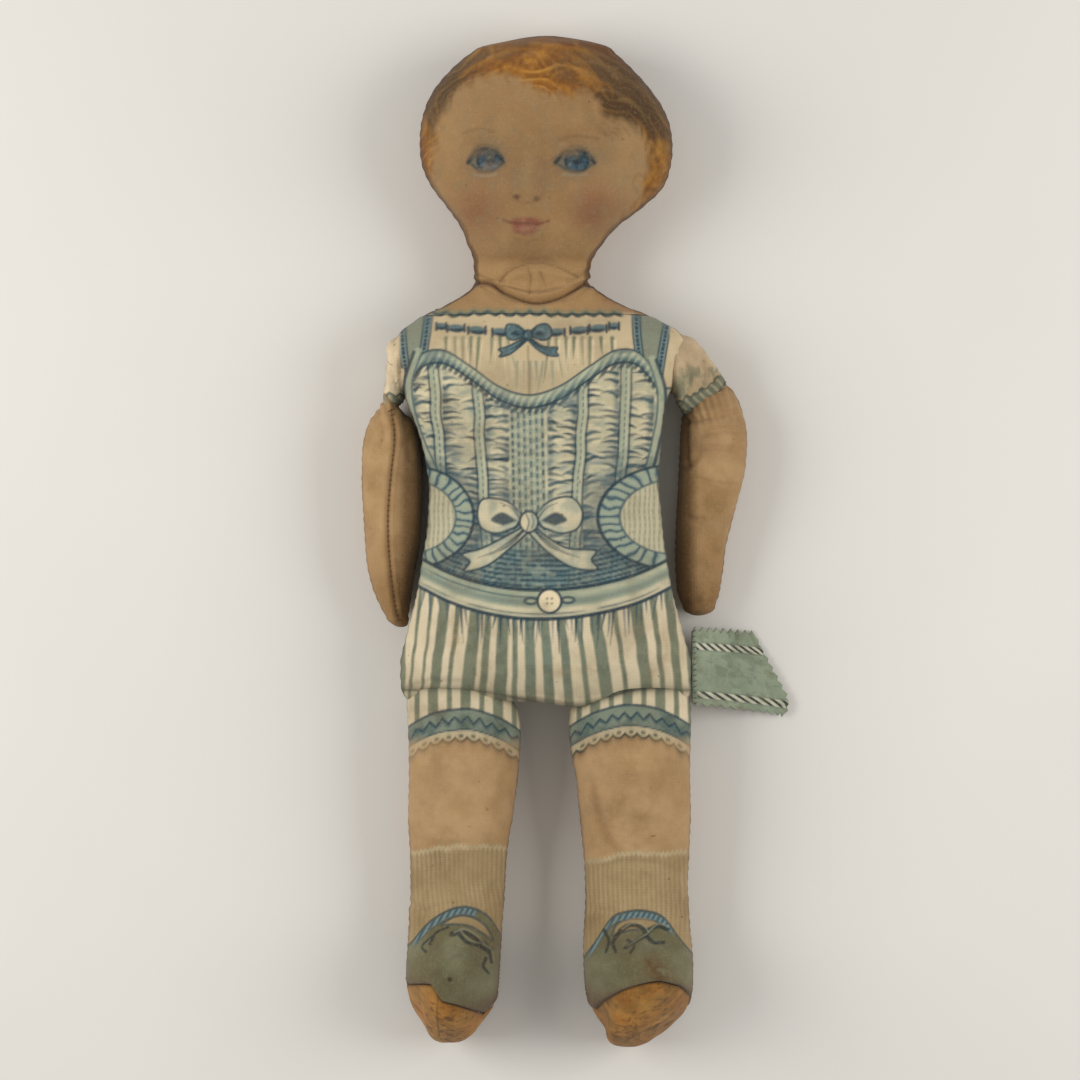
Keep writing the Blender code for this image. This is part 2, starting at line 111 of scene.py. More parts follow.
HEAD_SHARES = (
    (0.055, -0.283, 0.172, 0.628, 0.095, -0.18), (0.092, -0.283, 0.176, 0.676, 0.074, -0.14),
    (0.132, -0.287, 0.188, 0.716, 0.054, -0.09), (0.18, -0.307, 0.224, 0.77, 0.027, -0.05),
    (0.236, -0.331, 0.279, 0.838, 0.007, 0.0), (0.309, -0.382, 0.374, 0.905, -0.007, 0.0),
    (0.39, -0.446, 0.461, 0.959, -0.007, 0.0), (0.488, -0.489, 0.497, 1.0, -0.007, 0.0),
    (0.585, -0.499, 0.501, 1.0, -0.007, 0.0), (0.687, -0.487, 0.481, 0.959, -0.007, 0.0),
    (0.789, -0.446, 0.422, 0.878, 0.0, 0.0), (0.87, -0.382, 0.354, 0.784, 0.034, 0.0),
    (0.935, -0.307, 0.287, 0.676, 0.095, 0.0), (0.976, -0.224, 0.224, 0.588, 0.162, 0.0),
    (0.998, -0.141, 0.149, 0.5, 0.257, 0.0),
)
LEG_RIGHT_SHARES = (
    (0.036, -0.52, 0.411, 0.717, 0.039, 0.142), (0.06, -0.515, 0.464, 0.737, 0.007, 0.13),
    (0.105, -0.509, 0.5, 0.757, -0.007, 0.1), (0.175, -0.5, 0.5, 0.763, -0.007, 0.05),
    (0.268, -0.5, 0.473, 0.737, -0.007, 0.0), (0.367, -0.496, 0.429, 0.697, -0.007, 0.0),
    (0.48, -0.487, 0.384, 0.651, -0.007, 0.0), (0.579, -0.482, 0.366, 0.645, -0.007, 0.02),
    (0.678, -0.491, 0.348, 0.684, -0.007, 0.13), (0.777, -0.513, 0.33, 0.789, -0.007, 0.3),
    (0.856, -0.522, 0.317, 0.908, -0.007, 0.42), (0.924, -0.5, 0.295, 0.987, -0.007, 0.49),
    (0.966, -0.455, 0.241, 1.0, 0.026, 0.52), (0.989, -0.393, 0.17, 0.961, 0.079, 0.52),
)
LEG_LEFT_SHARES = (
    (0.036, -0.48, 0.504, 0.717, 0.039, 0.142), (0.06, -0.504, 0.508, 0.737, 0.007, 0.13),
    (0.105, -0.513, 0.512, 0.757, -0.007, 0.1), (0.175, -0.496, 0.512, 0.763, -0.007, 0.05),
    (0.268, -0.445, 0.512, 0.737, -0.007, 0.0), (0.367, -0.412, 0.508, 0.697, -0.007, 0.0),
    (0.48, -0.387, 0.496, 0.651, -0.007, 0.0), (0.579, -0.378, 0.487, 0.645, -0.007, 0.02),
    (0.678, -0.387, 0.504, 0.684, -0.007, 0.13), (0.777, -0.395, 0.53, 0.789, -0.007, 0.3),
    (0.856, -0.387, 0.535, 0.908, -0.007, 0.42), (0.93, -0.353, 0.513, 0.987, -0.007, 0.49),
    (0.976, -0.286, 0.454, 1.0, 0.026, 0.52), (1.0, -0.21, 0.361, 0.961, 0.079, 0.52),
)

# Each row is a section of a sleeve or an arm: reach and drop of its inner
# edge, reach and drop of its outer edge, then the front and back heights.
SLEEVE_LEFT_SHARES = (
    (0.0, 0.78, 0.0, 0.012, 0.98, 0.38), (0.029, 0.855, 0.343, 0.084, 0.92, 0.18),
    (0.078, 0.925, 0.696, 0.337, 0.76, 0.04), (0.147, 0.995, 1.0, 0.602, 0.6, 0.02),
)
SLEEVE_RIGHT_SHARES = (
    (0.0, 0.82, 0.0, 0.038, 0.98, 0.38), (0.093, 0.88, 0.535, 0.089, 0.98, 0.24),
    (0.209, 0.93, 0.86, 0.443, 0.94, 0.16), (0.326, 0.95, 1.0, 0.89, 0.84, 0.14),
)
ARM_LEFT_SHARES = (
    (0.083, 0.195, 0.903, 0.081, 0.895, -0.013), (0.062, 0.271, 1.0, 0.199, 0.974, -0.013),
    (0.049, 0.386, 0.993, 0.347, 1.0, -0.013), (0.028, 0.538, 0.861, 0.525, 0.974, -0.013),
    (0.01, 0.695, 0.722, 0.695, 0.895, -0.013), (0.01, 0.831, 0.667, 0.831, 0.789, -0.013),
    (0.056, 0.924, 0.597, 0.924, 0.68, 0.03), (0.153, 0.975, 0.5, 0.975, 0.6, 0.12),
    (0.25, 0.998, 0.389, 0.998, 0.51, 0.25),
)
ARM_RIGHT_SHARES = (
    (-0.2, 0.085, 0.82, 0.076, 0.978, 0.022), (-0.33, 0.166, 0.96, 0.166, 1.0, -0.011),
    (-0.42, 0.314, 1.0, 0.314, 1.0, -0.011), (-0.4, 0.462, 0.985, 0.462, 0.978, -0.011),
    (-0.337, 0.628, 0.94, 0.628, 0.913, -0.011), (-0.198, 0.771, 0.83, 0.771, 0.84, -0.011),
    (-0.105, 0.892, 0.61, 0.892, 0.76, 0.06), (-0.047, 0.96, 0.4, 0.96, 0.68, 0.2),
    (-0.0, 0.996, 0.2, 0.996, 0.6, 0.36),
)

# Colour and noise

def linear(code):
    """A sRGB hex colour as linear red, green and blue."""
    parts = [int(code[i:i + 2], 16) / 255 for i in (1, 3, 5)]
    return [v / 12.92 if v <= 0.04045 else ((v + 0.055) / 1.055) ** 2.4 for v in parts]


def lay(dye, code, mask):
    """Lay a wash or ink of one colour over the print."""
    dye += (np.array(linear(code)) - dye) * np.clip(mask, 0, 1)[:, None]


def clump(x, y, size, seed):
    """Soft random clumps of about one size, from -1 to 1."""
    table = np.random.default_rng(seed).random((61, 61))
    gx, gy = x / size + 7.3, y / size + 3.1
    ix, iy = np.floor(gx).astype(int), np.floor(gy).astype(int)
    fx, fy = gx - ix, gy - iy
    fx, fy = fx * fx * (3 - 2 * fx), fy * fy * (3 - 2 * fy)
    a, b = table[ix % 61, iy % 61], table[(ix + 1) % 61, iy % 61]
    c, d = table[ix % 61, (iy + 1) % 61], table[(ix + 1) % 61, (iy + 1) % 61]
    return ((a + (b - a) * fx) * (1 - fy) + (c + (d - c) * fx) * fy) * 2 - 1


def mottle(x, y, size, seed):
    """Clumps in three sizes."""
    coarse = clump(x, y, size, seed)
    return (coarse + clump(x, y, size / 2.1, seed + 1) / 2 + clump(x, y, size / 4.3, seed + 2) / 4) / 1.75


# Drawing on the printed sheet: u goes right and v goes down, in squares

def curve(place, places, values):
    """A smooth line through given values, read at any place."""
    places, values = np.asarray(places, float), np.asarray(values, float)
    slope = np.gradient(values, places, axis=0)
    place = np.clip(place, places[0], places[-1])
    i = np.clip(np.searchsorted(places, place, side="right") - 1, 0, len(places) - 2)
    width = places[i + 1] - places[i]
    t = (place - places[i]) / width
    if values.ndim > 1:
        t, width = t[:, None], width[:, None]
    start = values[i] * (2 * t**3 - 3 * t**2 + 1) + slope[i] * width * (t**3 - 2 * t**2 + t)
    return start + values[i + 1] * (3 * t**2 - 2 * t**3) + slope[i + 1] * width * (t**3 - t**2)


def smooth_line(points, steps=6):
    """A drawn line, made smooth between its points."""
    points = np.asarray(points, float)
    if len(points) < 3:
        return points
    along = np.arange(len(points))
    return curve(np.linspace(0, len(points) - 1, steps * (len(points) - 1) + 1), along, points)


def line_distance(u, v, points):
    """Distance to a drawn line, and how far along it the nearest place is."""
    best = np.full(len(u), 1e9)
    share = np.zeros(len(u))
    count = len(points) - 1
    for i in range(count):
        (au, av), (bu, bv) = points[i], points[i + 1]
        du, dv = bu - au, bv - av
        t = np.clip(((u - au) * du + (v - av) * dv) / max(du * du + dv * dv, 1e-9), 0, 1)
        gap = np.hypot(u - au - t * du, v - av - t * dv)
        closer = gap < best
        best[closer] = gap[closer]
        share[closer] = (i + t[closer]) / count
    return best, share


def pen(u, v, points, width=2.0, soft=1.4, taper=0.0):
    """The mask of one pen stroke. A tapered stroke thins to its end."""
    points = smooth_line(points)
    low, high = points.min(0) - width - soft, points.max(0) + width + soft
    inside = np.nonzero((u > low[0]) & (u < high[0]) & (v > low[1]) & (v < high[1]))[0]
    mask = np.zeros(len(u))
    if len(inside):
        gap, share = line_distance(u[inside], v[inside], points)
        half = width / 2 * (1 - taper * share)
        mask[inside] = np.clip((half + soft / 2 - gap) / soft, 0, 1)
    return mask


def spot(u, v, centre, size, turn=0.0, soft=1.5):
    """The mask of an oval."""
    du, dv = u - centre[0], v - centre[1]
    a = (du * cos(turn) + dv * sin(turn)) / size[0]
    b = (-du * sin(turn) + dv * cos(turn)) / size[1]
    return np.clip((1 - np.hypot(a, b)) * min(size) / soft + 0.5, 0, 1)


def glow(u, v, centre, size):
    """A soft round wash, strongest at its centre."""
    return np.exp(-(((u - centre[0]) / size[0]) ** 2 + ((v - centre[1]) / size[1]) ** 2))


def inside_line(u, v, points):
    """Signed distance to a closed outline, above 0 inside it."""
    points = np.vstack([smooth_line(points), points[:1]])
    gap, _ = line_distance(u, v, points)
    odd = np.zeros(len(u), bool)
    for (au, av), (bu, bv) in zip(points[:-1], points[1:]):
        if av != bv:
            crosses = (av > v) != (bv > v)
            odd ^= crosses & (u < (bu - au) * (v - av) / (bv - av) + au)
    return np.where(odd, gap, -gap)


def over(value, soft=1.5):
    """1 where the value is above 0, with a soft edge."""
    return np.clip(value / soft + 0.5, 0, 1)


def patchy(x, y, size, seed, soft, level=0.0):
    """1 in random patches of about one size. A lower level leaves fewer of them."""
    return over(mottle(x, y, size, seed) + level, soft)


def bell(value):
    """1 where the value is 0, and soon nothing beyond 1 on either side."""
    return np.exp(-(value**2))


def band(value, width, soft=1.3):
    """1 in a band about 0."""
    return np.clip((width / 2 + soft / 2 - np.abs(value)) / soft, 0, 1)


# The skins of the stuffed pieces. A section is one row of eight numbers: x and
# y of both edges, front height, back height, lean, and the height of the seam.
ACROSS_X, ACROSS_Y = slice(0, 4, 2), slice(1, 4, 2)
HEIGHTS, LEAN, SEAM = slice(4, 6), 6, 7


def middle_of(rows):
    """The middle of a section, between its two edges."""
    return (rows[..., 0:2] + rows[..., 2:4]) / 2


def half_of(rows):
    """The way from the middle of a section to its second edge."""
    return (rows[..., 2:4] - rows[..., 0:2]) / 2


def distance_along(path, least=0):
    """How far each place of a path is from its start, with a least step."""
    steps = np.sqrt((np.diff(path, axis=0) ** 2).sum(1)) + least
    return np.concatenate([[0], np.cumsum(steps)])


def body_rows(shares, length, offset, width, depth, seam):
    """Sections of the torso, the head or a leg, from its start."""
    rows = []
    for along, low, high, front, back, *lean in shares:
        y = along * length
        heights = (front * depth, back * depth)
        rows.append((offset + low * width, y, offset + high * width, y, *heights, *(lean or [0]), seam))
    return np.array(rows)


def started_at(rows, y):
    """The sections moved along, so that the front of the first one comes to y."""
    rows[:, ACROSS_Y] += y - rows[0, 1] - rows[0, LEAN] * rows[0, 4]
    return rows


def limb_rows(shares, side, armhole, size, seam):
    """Sections of a sleeve or an arm, from the armhole outward."""
    reach, drop, length, depth = size
    top = SHOULDER_LINE - drop
    rows = []
    for inner, inner_drop, outer, outer_drop, front, back in shares:
        near = (side * (armhole + inner * reach), top - inner_drop * length)
        far = (side * (armhole + outer * reach), top - outer_drop * length)
        left, right = (near, far) if side > 0 else (far, near)
        rows.append((*left, *right, front * depth, back * depth, 0, seam))
    return np.array(rows)


def even_rows(rows, spacing):
    """Sections at an even spacing along the piece, smooth between the given ones."""
    along = distance_along(middle_of(rows), 1e-5)
    count = max(int(along[-1] / spacing), 4)
    return curve(np.linspace(0, along[-1], count), along, rows)


def quarter_turn(steps):
    """The angles of a quarter turn, without its start."""
    return [pi / 2 * i / steps for i in range(1, steps + 1)]


def drawn_in(row, middle, half, centre, share):
    """A section about a new middle, with a share of its height about a centre."""
    row = row.copy()
    row[0:2], row[2:4] = middle - half, middle + half
    row[HEIGHTS] = centre + (row[HEIGHTS] - centre) * share
    return row


def turned_end(rows, reach, keep, close, steps=8, start=False):
    """Sections that turn the cloth in at an end. A close of 1 brings it together on its seam."""
    if start:
        return turned_end(rows[::-1], reach, keep, close, steps)[::-1]
    last = rows[-1]
    way = middle_of(last) - middle_of(rows[-2])
    way /= np.hypot(*way)
    ends = []
    for angle in quarter_turn(steps):
        turned = 1 - cos(angle)
        middle = middle_of(last) + way * reach * sin(angle)
        half = half_of(last) * (1 - (1 - keep) * turned)
        ends.append(drawn_in(last, middle, half, last[SEAM], 1 - close * turned))
    return np.vstack([rows, ends])


def domed_end(rows, depth, blunt=False):
    """Sections that close in a soft dome over the last stretch of a piece."""
    left = distance_along(middle_of(rows)[::-1])
    kept = rows[left[::-1] > depth]
    ends = []
    for angle in quarter_turn(12):
        at = depth * (1 - sin(angle))
        row = np.array([np.interp(at, left, values) for values in rows[::-1].T])
        share = max(cos(angle), 0.003)
        half = half_of(row)
        if blunt:
            half, row[HEIGHTS] = half_of(kept[-1]), kept[-1, HEIGHTS]
        ends.append(drawn_in(row, middle_of(row), half * share, row[SEAM], share))
    return np.vstack([kept, ends])


# The rounded end of a foot: its sections, how soon it runs out to its full
# puff, and the stretch of sections that is smoothed where the end begins
CAP_STEPS = 60
CAP_POWER = 2.9
CAP_SMOOTHED = slice(-110, -8)
CAP_SMOOTHING = 15


def capped_foot(rows, bulge, aside):
    """Sections that run on over the flat end of a foot to its middle, puffed out and eased in."""
    last = rows[-1]
    centre = last[HEIGHTS].mean()
    ends = []
    for i in range(1, CAP_STEPS + 1):
        share = max(1 - i / CAP_STEPS, 0.01)
        run = 1 - share**CAP_POWER
        row = drawn_in(last, middle_of(last), half_of(last) * share, centre, share)
        row[SEAM] += (centre - last[SEAM]) * (1 - share)
        row[ACROSS_Y] -= bulge * run
        row[ACROSS_X] += aside * run
        ends.append(row)
    whole = np.vstack([rows, ends])
    for column in (0, 1, 2, 3, 4, 5, SEAM):
        eased = np.convolve(whole[:, column], np.ones(CAP_SMOOTHING) / CAP_SMOOTHING, "same")
        whole[CAP_SMOOTHED, column] = eased[CAP_SMOOTHED]
    return whole


def cut_foot(edge, sole):
    """Keep the part of a foot above its drawn sole edge, or the part that is the sole."""
    def cut(grid):
        rows, columns = grid.shape[:2]
        column = np.arange(columns)
        u, v = on_sheet(grid.reshape(-1, 3))
        past = (v - np.interp(u, *edge)).reshape(rows, columns)
        first = (past > 0).argmax(axis=0)
        step = past[first, column] - past[first - 1, column]
        place = first - past[first, column] / np.maximum(step, 1e-6)
        # Nothing is drawn on the under side, so its edge runs from seam to seam
        under = grid[rows // 2, :, 2] < grid[rows // 2, 0, 2] - 1e-4
        place[under] = (place[0] + place[~under][-1]) / 2
        place = np.convolve(np.r_[place[-4:], place, place[:4]], np.ones(9) / 9, "valid")
        wanted = np.arange(rows)[:, None] * np.ones((1, columns))
        if sole:
            wanted = place + (rows - 1 - place) * wanted / (rows - 1)
        else:
            held = place.min() - 24
            wanted = np.where(wanted < held, wanted, held + (wanted - held) * (place - held) / (rows - 1 - held))
        low = np.clip(np.floor(wanted).astype(int), 0, rows - 2)
        share = (wanted - low)[:, :, None]
        return grid[low, column] * (1 - share) + grid[low + 1, column] * share
    return cut


def spread_evenly(points, count):
    """The same number of places along each section, at even spacing over the cloth."""
    gaps = np.sqrt((np.diff(points, axis=1) ** 2).sum(2)) + 1e-9
    share = np.concatenate([np.zeros((len(points), 1)), np.cumsum(gaps, axis=1)], axis=1)
    lengths = share[:, -1].copy()
    share /= lengths[:, None]
    wanted = np.linspace(0, 1, count)
    out = np.empty((len(points), count, 3))
    for i in range(len(points)):
        for axis in range(3):
            out[i, :, axis] = np.interp(wanted, share[i], points[i, :, axis])
    return out, lengths


def section_points(rows, front):
    """The front or the back of each section, from seam to seam."""
    angle = np.linspace(0, pi, 161)
    if not front:
        angle = angle[::-1]
    across = np.sign(np.cos(angle)) * np.abs(np.cos(angle)) ** (2 / SECTION_POWER)
    rise = np.abs(np.sin(angle)) ** (2 / SECTION_POWER)
    middle, half, seam = middle_of(rows), half_of(rows), rows[:, SEAM, None]
    height = rows[:, 4:5] if front else rows[:, 5:6]
    z = np.maximum(seam + rise[None] * (height - seam), 0)
    x = middle[:, 0:1] + half[:, 0:1] * across
    y = middle[:, 1:2] + half[:, 1:2] * across + rows[:, LEAN, None] * z
    return np.stack([x, y, z], axis=2)


def on_sheet(points):
    """The square of the printed sheet that lies over each point."""
    nearer = 1 + (points[:, 2] - PRINT_HEIGHT) / VIEW_DISTANCE
    u = SHEET_MIDDLE[0] + (points[:, 0] - MIDDLE_X) * nearer / SQUARE
    v = SHEET_MIDDLE[1] - (points[:, 1] - MIDDLE_Y) * nearer / SQUARE
    return u, v


def skin_faces(rows, columns):
    """The faces of a skin that closes on itself across."""
    start, across = np.arange(rows - 1)[:, None] * columns, np.arange(columns)[None]
    a = (start + across).ravel()
    b = (start + (across + 1) % columns).ravel()
    return np.stack([a, b, b + columns, a + columns], axis=1)


def outward(grid):
    """Unit normals of a skin away from its stuffing, and 1 or -1 for the way round that its faces go."""
    across = np.roll(grid, -1, axis=1) - np.roll(grid, 1, axis=1)
    along = np.gradient(grid, axis=0)
    normal = np.cross(across, along)
    normal /= np.linalg.norm(normal, axis=2, keepdims=True) + 1e-12
    turn = 1 if ((grid - grid.mean(axis=1, keepdims=True)) * normal).sum() > 0 else -1
    return normal * turn, turn


# The drawn places of each finished skin, so that thread can be put on it
SKINS = {}


class Skin:
    """Where each point of a skin lies, for the folds and the print."""

    def __init__(self, name, grid, front, edge, along):
        self.left = name.startswith("left")
        self.grid = grid
        self.shape = grid.shape[:2]
        self.flat = grid.reshape(-1, 3)
        self.x, self.y, self.z = self.flat.T
        self.u, self.v = on_sheet(self.flat)
        self.front = np.broadcast_to(front, self.shape).ravel()
        self.edge = edge.ravel()
        self.along = np.broadcast_to(along[:, None], self.shape).ravel()


def seam_folds(skin, depth=0.0006, pucker=0.00035, pitch=0.0065, seed=5):
    """The sewn seam drawn in, with small puckers running from it."""
    wander = clump(skin.along, skin.front * 0.7, 0.012, seed) * 2.4
    waves = np.sin(2 * pi * skin.along / pitch + wander) * np.exp(-skin.edge / 0.006)
    return pucker * waves - depth * bell(skin.edge / 0.0013)


def stuffing_lumps(skin, height=0.0007, size=0.028, seed=11):
    """Soft lumps of the stuffing under the cloth."""
    return height * mottle(skin.x + skin.z, skin.y - skin.z * 0.6, size, seed)


def crease(skin, points, depth, width, side=0.6):
    """A fold in the cloth along a drawn line, with the cloth pushed up on both sides."""
    points = smooth_line(points)
    low, high = points.min(0) - width * 5, points.max(0) + width * 5
    near = (skin.u > low[0]) & (skin.u < high[0]) & (skin.v > low[1]) & (skin.v < high[1]) & skin.front
    near = np.nonzero(near)[0]
    move = np.zeros(len(skin.u))
    if len(near):
        gap, share = line_distance(skin.u[near], skin.v[near], points)
        fade = np.clip(np.minimum(share, 1 - share) * 6, 0, 1) ** 0.5
        valley = bell(gap / width)
        ridge = bell((gap - width * 2.1) / (width * 1.2))
        move[near] = depth * fade * (side * ridge - valley)
    return move

def creases(skin, lines, depth, width):
    """The same fold along several drawn lines."""
    return sum(crease(skin, line, depth, width) for line in lines)


def stuffed_skin(name, rows, spacing, folds, paint, bend=None):
    """One stuffed piece: its cloth as one skin round its stuffing."""
    along = distance_along(middle_of(rows))
    reach = rows[:, 2:4] - rows[:, 0:2]
    width = np.hypot(*reach.T)
    widest = (width + rows[:, 4] - rows[:, SEAM]).max()
    fronts = int(widest / spacing)
    backs = max(int(widest / spacing * 0.4), 24)
    upper, upper_length = spread_evenly(section_points(rows, True), fronts)
    lower, lower_length = spread_evenly(section_points(rows, False), backs)
    grid = np.concatenate([upper, lower[:, 1:-1]], axis=1)
    share, below = np.linspace(0, 1, fronts), np.linspace(0, 1, backs)[1:-1]
    edge = np.concatenate([
        np.minimum(share, 1 - share)[None] * upper_length[:, None],
        np.minimum(below, 1 - below)[None] * lower_length[:, None],
    ], axis=1)
    width = np.maximum(width, 1e-6)[:, None]
    across = ((grid[:, :, :2] - rows[:, None, 0:2]) * (reach / width)[:, None]).sum(axis=2)
    if bend:
        grid = bend(grid)
    front = np.concatenate([np.ones(fronts, bool), np.zeros(backs - 2, bool)])[None]
    skin = Skin(name, grid, front, edge, along)
    skin.rim = np.minimum(across, width - across).ravel()
    ways, turn = outward(grid)
    final = grid + ways * folds(skin).reshape(skin.shape)[:, :, None]
    final[:, :, 2] = np.maximum(final[:, :, 2], 0.0002)
    final = final.reshape(-1, 3)
    SKINS[name] = (skin.u, skin.v, skin.front, final, ways.reshape(-1, 3))
    piece = put_piece(name, final.tolist(), skin_faces(*skin.shape)[:, ::turn].tolist())
    put_print(piece.data, *paint(skin))
    return piece


def inked(dye, strength):
    """The print with its darks deeper and its lights cleaner, in the same hues."""
    light = np.clip(dye.mean(axis=1, keepdims=True), 0.004, 1)
    return dye * (light / 0.25) ** (strength - 1)


def put_print(mesh, dye, soil):
    """Keep the printed colour and the soiling on the mesh, for its material."""
    ink = mesh.attributes.new("print", "FLOAT_COLOR", "POINT")
    ink.data.foreach_set("color", np.c_[np.clip(dye, 0, 1), np.ones(len(dye))].astype(np.float32).ravel())
    dirt = mesh.attributes.new("soil", "FLOAT", "POINT")
    dirt.data.foreach_set("value", np.clip(soil, 0, 1).astype(np.float32))


def put_piece(name, points, faces):
    """Place a piece in the scene, made of its points and faces."""
    mesh = bpy.data.meshes.new(name)
    mesh.from_pydata(points, [], faces)
    mesh.shade_smooth()
    piece = bpy.data.objects.new(name, mesh)
    bpy.context.scene.collection.objects.link(piece)
    return piece


# Printed colours, as they have aged
SKIN_PRINT = "#b08f65"
FACE_SOIL = "#8a6842"
NECK_PRINT = "#a98558"
BLUSH = "#81523a"
LIP = "#82493a"
EYE_LINE = "#232f36"
EYE_BLUE = "#324c5b"
EYE_PALE = "#6b6b5b"
HAIR_DARK = "#5a402c"
# Soil held in seams, and painted shade in the small folds of the neck
SEAM_SOIL_AND_FOLD_SHADE = "#4f3622"
CREAM = "#c0b495"
PINK_CREAM = "#bfac89"
GREEN_STRIPE = "#7c8169"
PALE_GREEN = "#a1a68c"
STRAP_GREEN = "#868c78"
TEAL = "#45656c"
TEAL_SOFT = "#71898a"
TEAL_DARK = "#2c4a58"
HEM_TEAL = "#596c63"
SOCK = "#9d8660"
SHOE = "#656145"
SHOE_INK = "#3c4c4c"
SOLE_TAN = "#8d6a3a"
SOLE_ORANGE = "#a9712f"
STAIN = "#4a351f"


def ground(skin, code):
    """The cloth before it was printed."""
    return np.tile(np.array(linear(code)), (len(skin.u), 1))


def stroke(skin, dye, code, strength, *line):
    """Ink one pen stroke on the front of a skin. The line, width, softness and taper are the pen's."""
    lay(dye, code, strength * skin.front * pen(skin.u, skin.v, *line))


def seam_line(skin, dye, code=SEAM_SOIL_AND_FOLD_SHADE, width=0.0024, strength=0.85):
    """Soil and thread held in a sewn seam."""
    uneven = 0.8 + 0.3 * clump(skin.along, skin.u * 0, 0.008, 3)
    lay(dye, code, strength * uneven * bell(skin.edge / width))


def rim_line(skin, dye, code, width, strength):
    """A dark outline along both sides of a piece, as wide as it shows from the front."""
    uneven = 1 + 0.4 * clump(skin.along, skin.front * 1.0, 0.006, 4)
    near = skin.front * bell(skin.edge / 0.011)
    lay(dye, code, strength * near * over((width * uneven - skin.rim) / SQUARE, 1.8))


# Face and hair

FACE_EDGE = [
    (443, 208), (434, 196), (431, 176), (433, 150), (437, 128), (447, 107), (458, 90), (476, 80),
    (495, 74), (523, 80), (536, 88), (564, 96), (584, 91), (596, 101), (606, 118), (624, 121),
    (638, 129), (646, 144), (648, 160), (645, 178), (642, 196), (629, 213), (612, 232), (594, 262),
    (600, 290), (640, 330), (420, 330), (462, 290), (474, 262), (462, 236),
]
HAIR_WAVES = [
    ((426, 196), (424, 168), (429, 140), (441, 110), (462, 84)),
    ((430, 150), (440, 118), (460, 88), (484, 70)),
    ((452, 92), (476, 66), (506, 62), (520, 74)),
    ((484, 82), (500, 74), (514, 76), (522, 68), (516, 54)),
    ((500, 76), (512, 60), (533, 58), (545, 70), (540, 82)),
    ((532, 72), (540, 56), (556, 50), (572, 66)),
    ((548, 80), (560, 70), (574, 74), (584, 86), (580, 98)),
    ((566, 56), (584, 64), (600, 80), (612, 84)),
    ((570, 60), (604, 66), (626, 86), (640, 110)),
    ((600, 66), (634, 84), (656, 116), (664, 150)),
    ((590, 94), (612, 98), (636, 110), (646, 132)),
    ((648, 140), (660, 158), (662, 180), (650, 200)),
    ((646, 160), (656, 176), (650, 196), (634, 214)),
    ((470, 66), (500, 50), (544, 46), (590, 50)),
    ((520, 44), (570, 46), (616, 62), (646, 92)),
]
HAIR_PATCHES = (
    (
        "#6f5a45", 0.95, 7,
        (
            (424, 124), (432, 96), (452, 70), (484, 50), (530, 40), (560, 44), (520, 54), (488, 64), (470, 76),
            (458, 92), (446, 112), (438, 128), (426, 130)
        )
    ),
    (
        "#6b5138", 0.8, 5,
        (
            (560, 42), (600, 46), (636, 66), (660, 104), (668, 138), (654, 138), (640, 108), (620, 84), (596, 66),
            (566, 54)
        )
    ),
    ("#7a431a", 0.75, 4, ((556, 38), (600, 44), (632, 60), (646, 82), (622, 66), (592, 54), (560, 46))),
    (
        "#55402f", 0.95, 5,
        ((594, 88), (612, 94), (626, 104), (640, 116), (634, 122), (616, 118), (602, 110), (594, 98))
    ),
    ("#5c4533", 0.85, 5, ((634, 96), (652, 112), (666, 136), (664, 142), (652, 140), (644, 126), (638, 112))),
    ("#665040", 0.75, 3, ((553, 66), (564, 62), (570, 70), (566, 78), (556, 76))),
    ("#9a6426", 0.8, 4, ((500, 64), (512, 62), (522, 72), (520, 78), (508, 79), (500, 72))),
    ("#9a6222", 0.8, 4, ((536, 82), (556, 80), (578, 86), (584, 96), (566, 96), (546, 88))),
    ("#a8702c", 0.7, 4, ((424, 128), (430, 132), (430, 160), (434, 196), (428, 196), (421, 166))),
    ("#b58640", 0.75, 4, ((650, 142), (668, 142), (670, 186), (648, 206), (630, 222), (642, 196), (652, 176))),
)

HAIR_CURLS = (
    (474, 70), (492, 64), (510, 66), (514, 76), (530, 60), (541, 84), (556, 88), (574, 92), (586, 80), (600, 86),
    (427, 146), (429, 170), (433, 188), (657, 158), (661, 176), (652, 192), (640, 206),
)


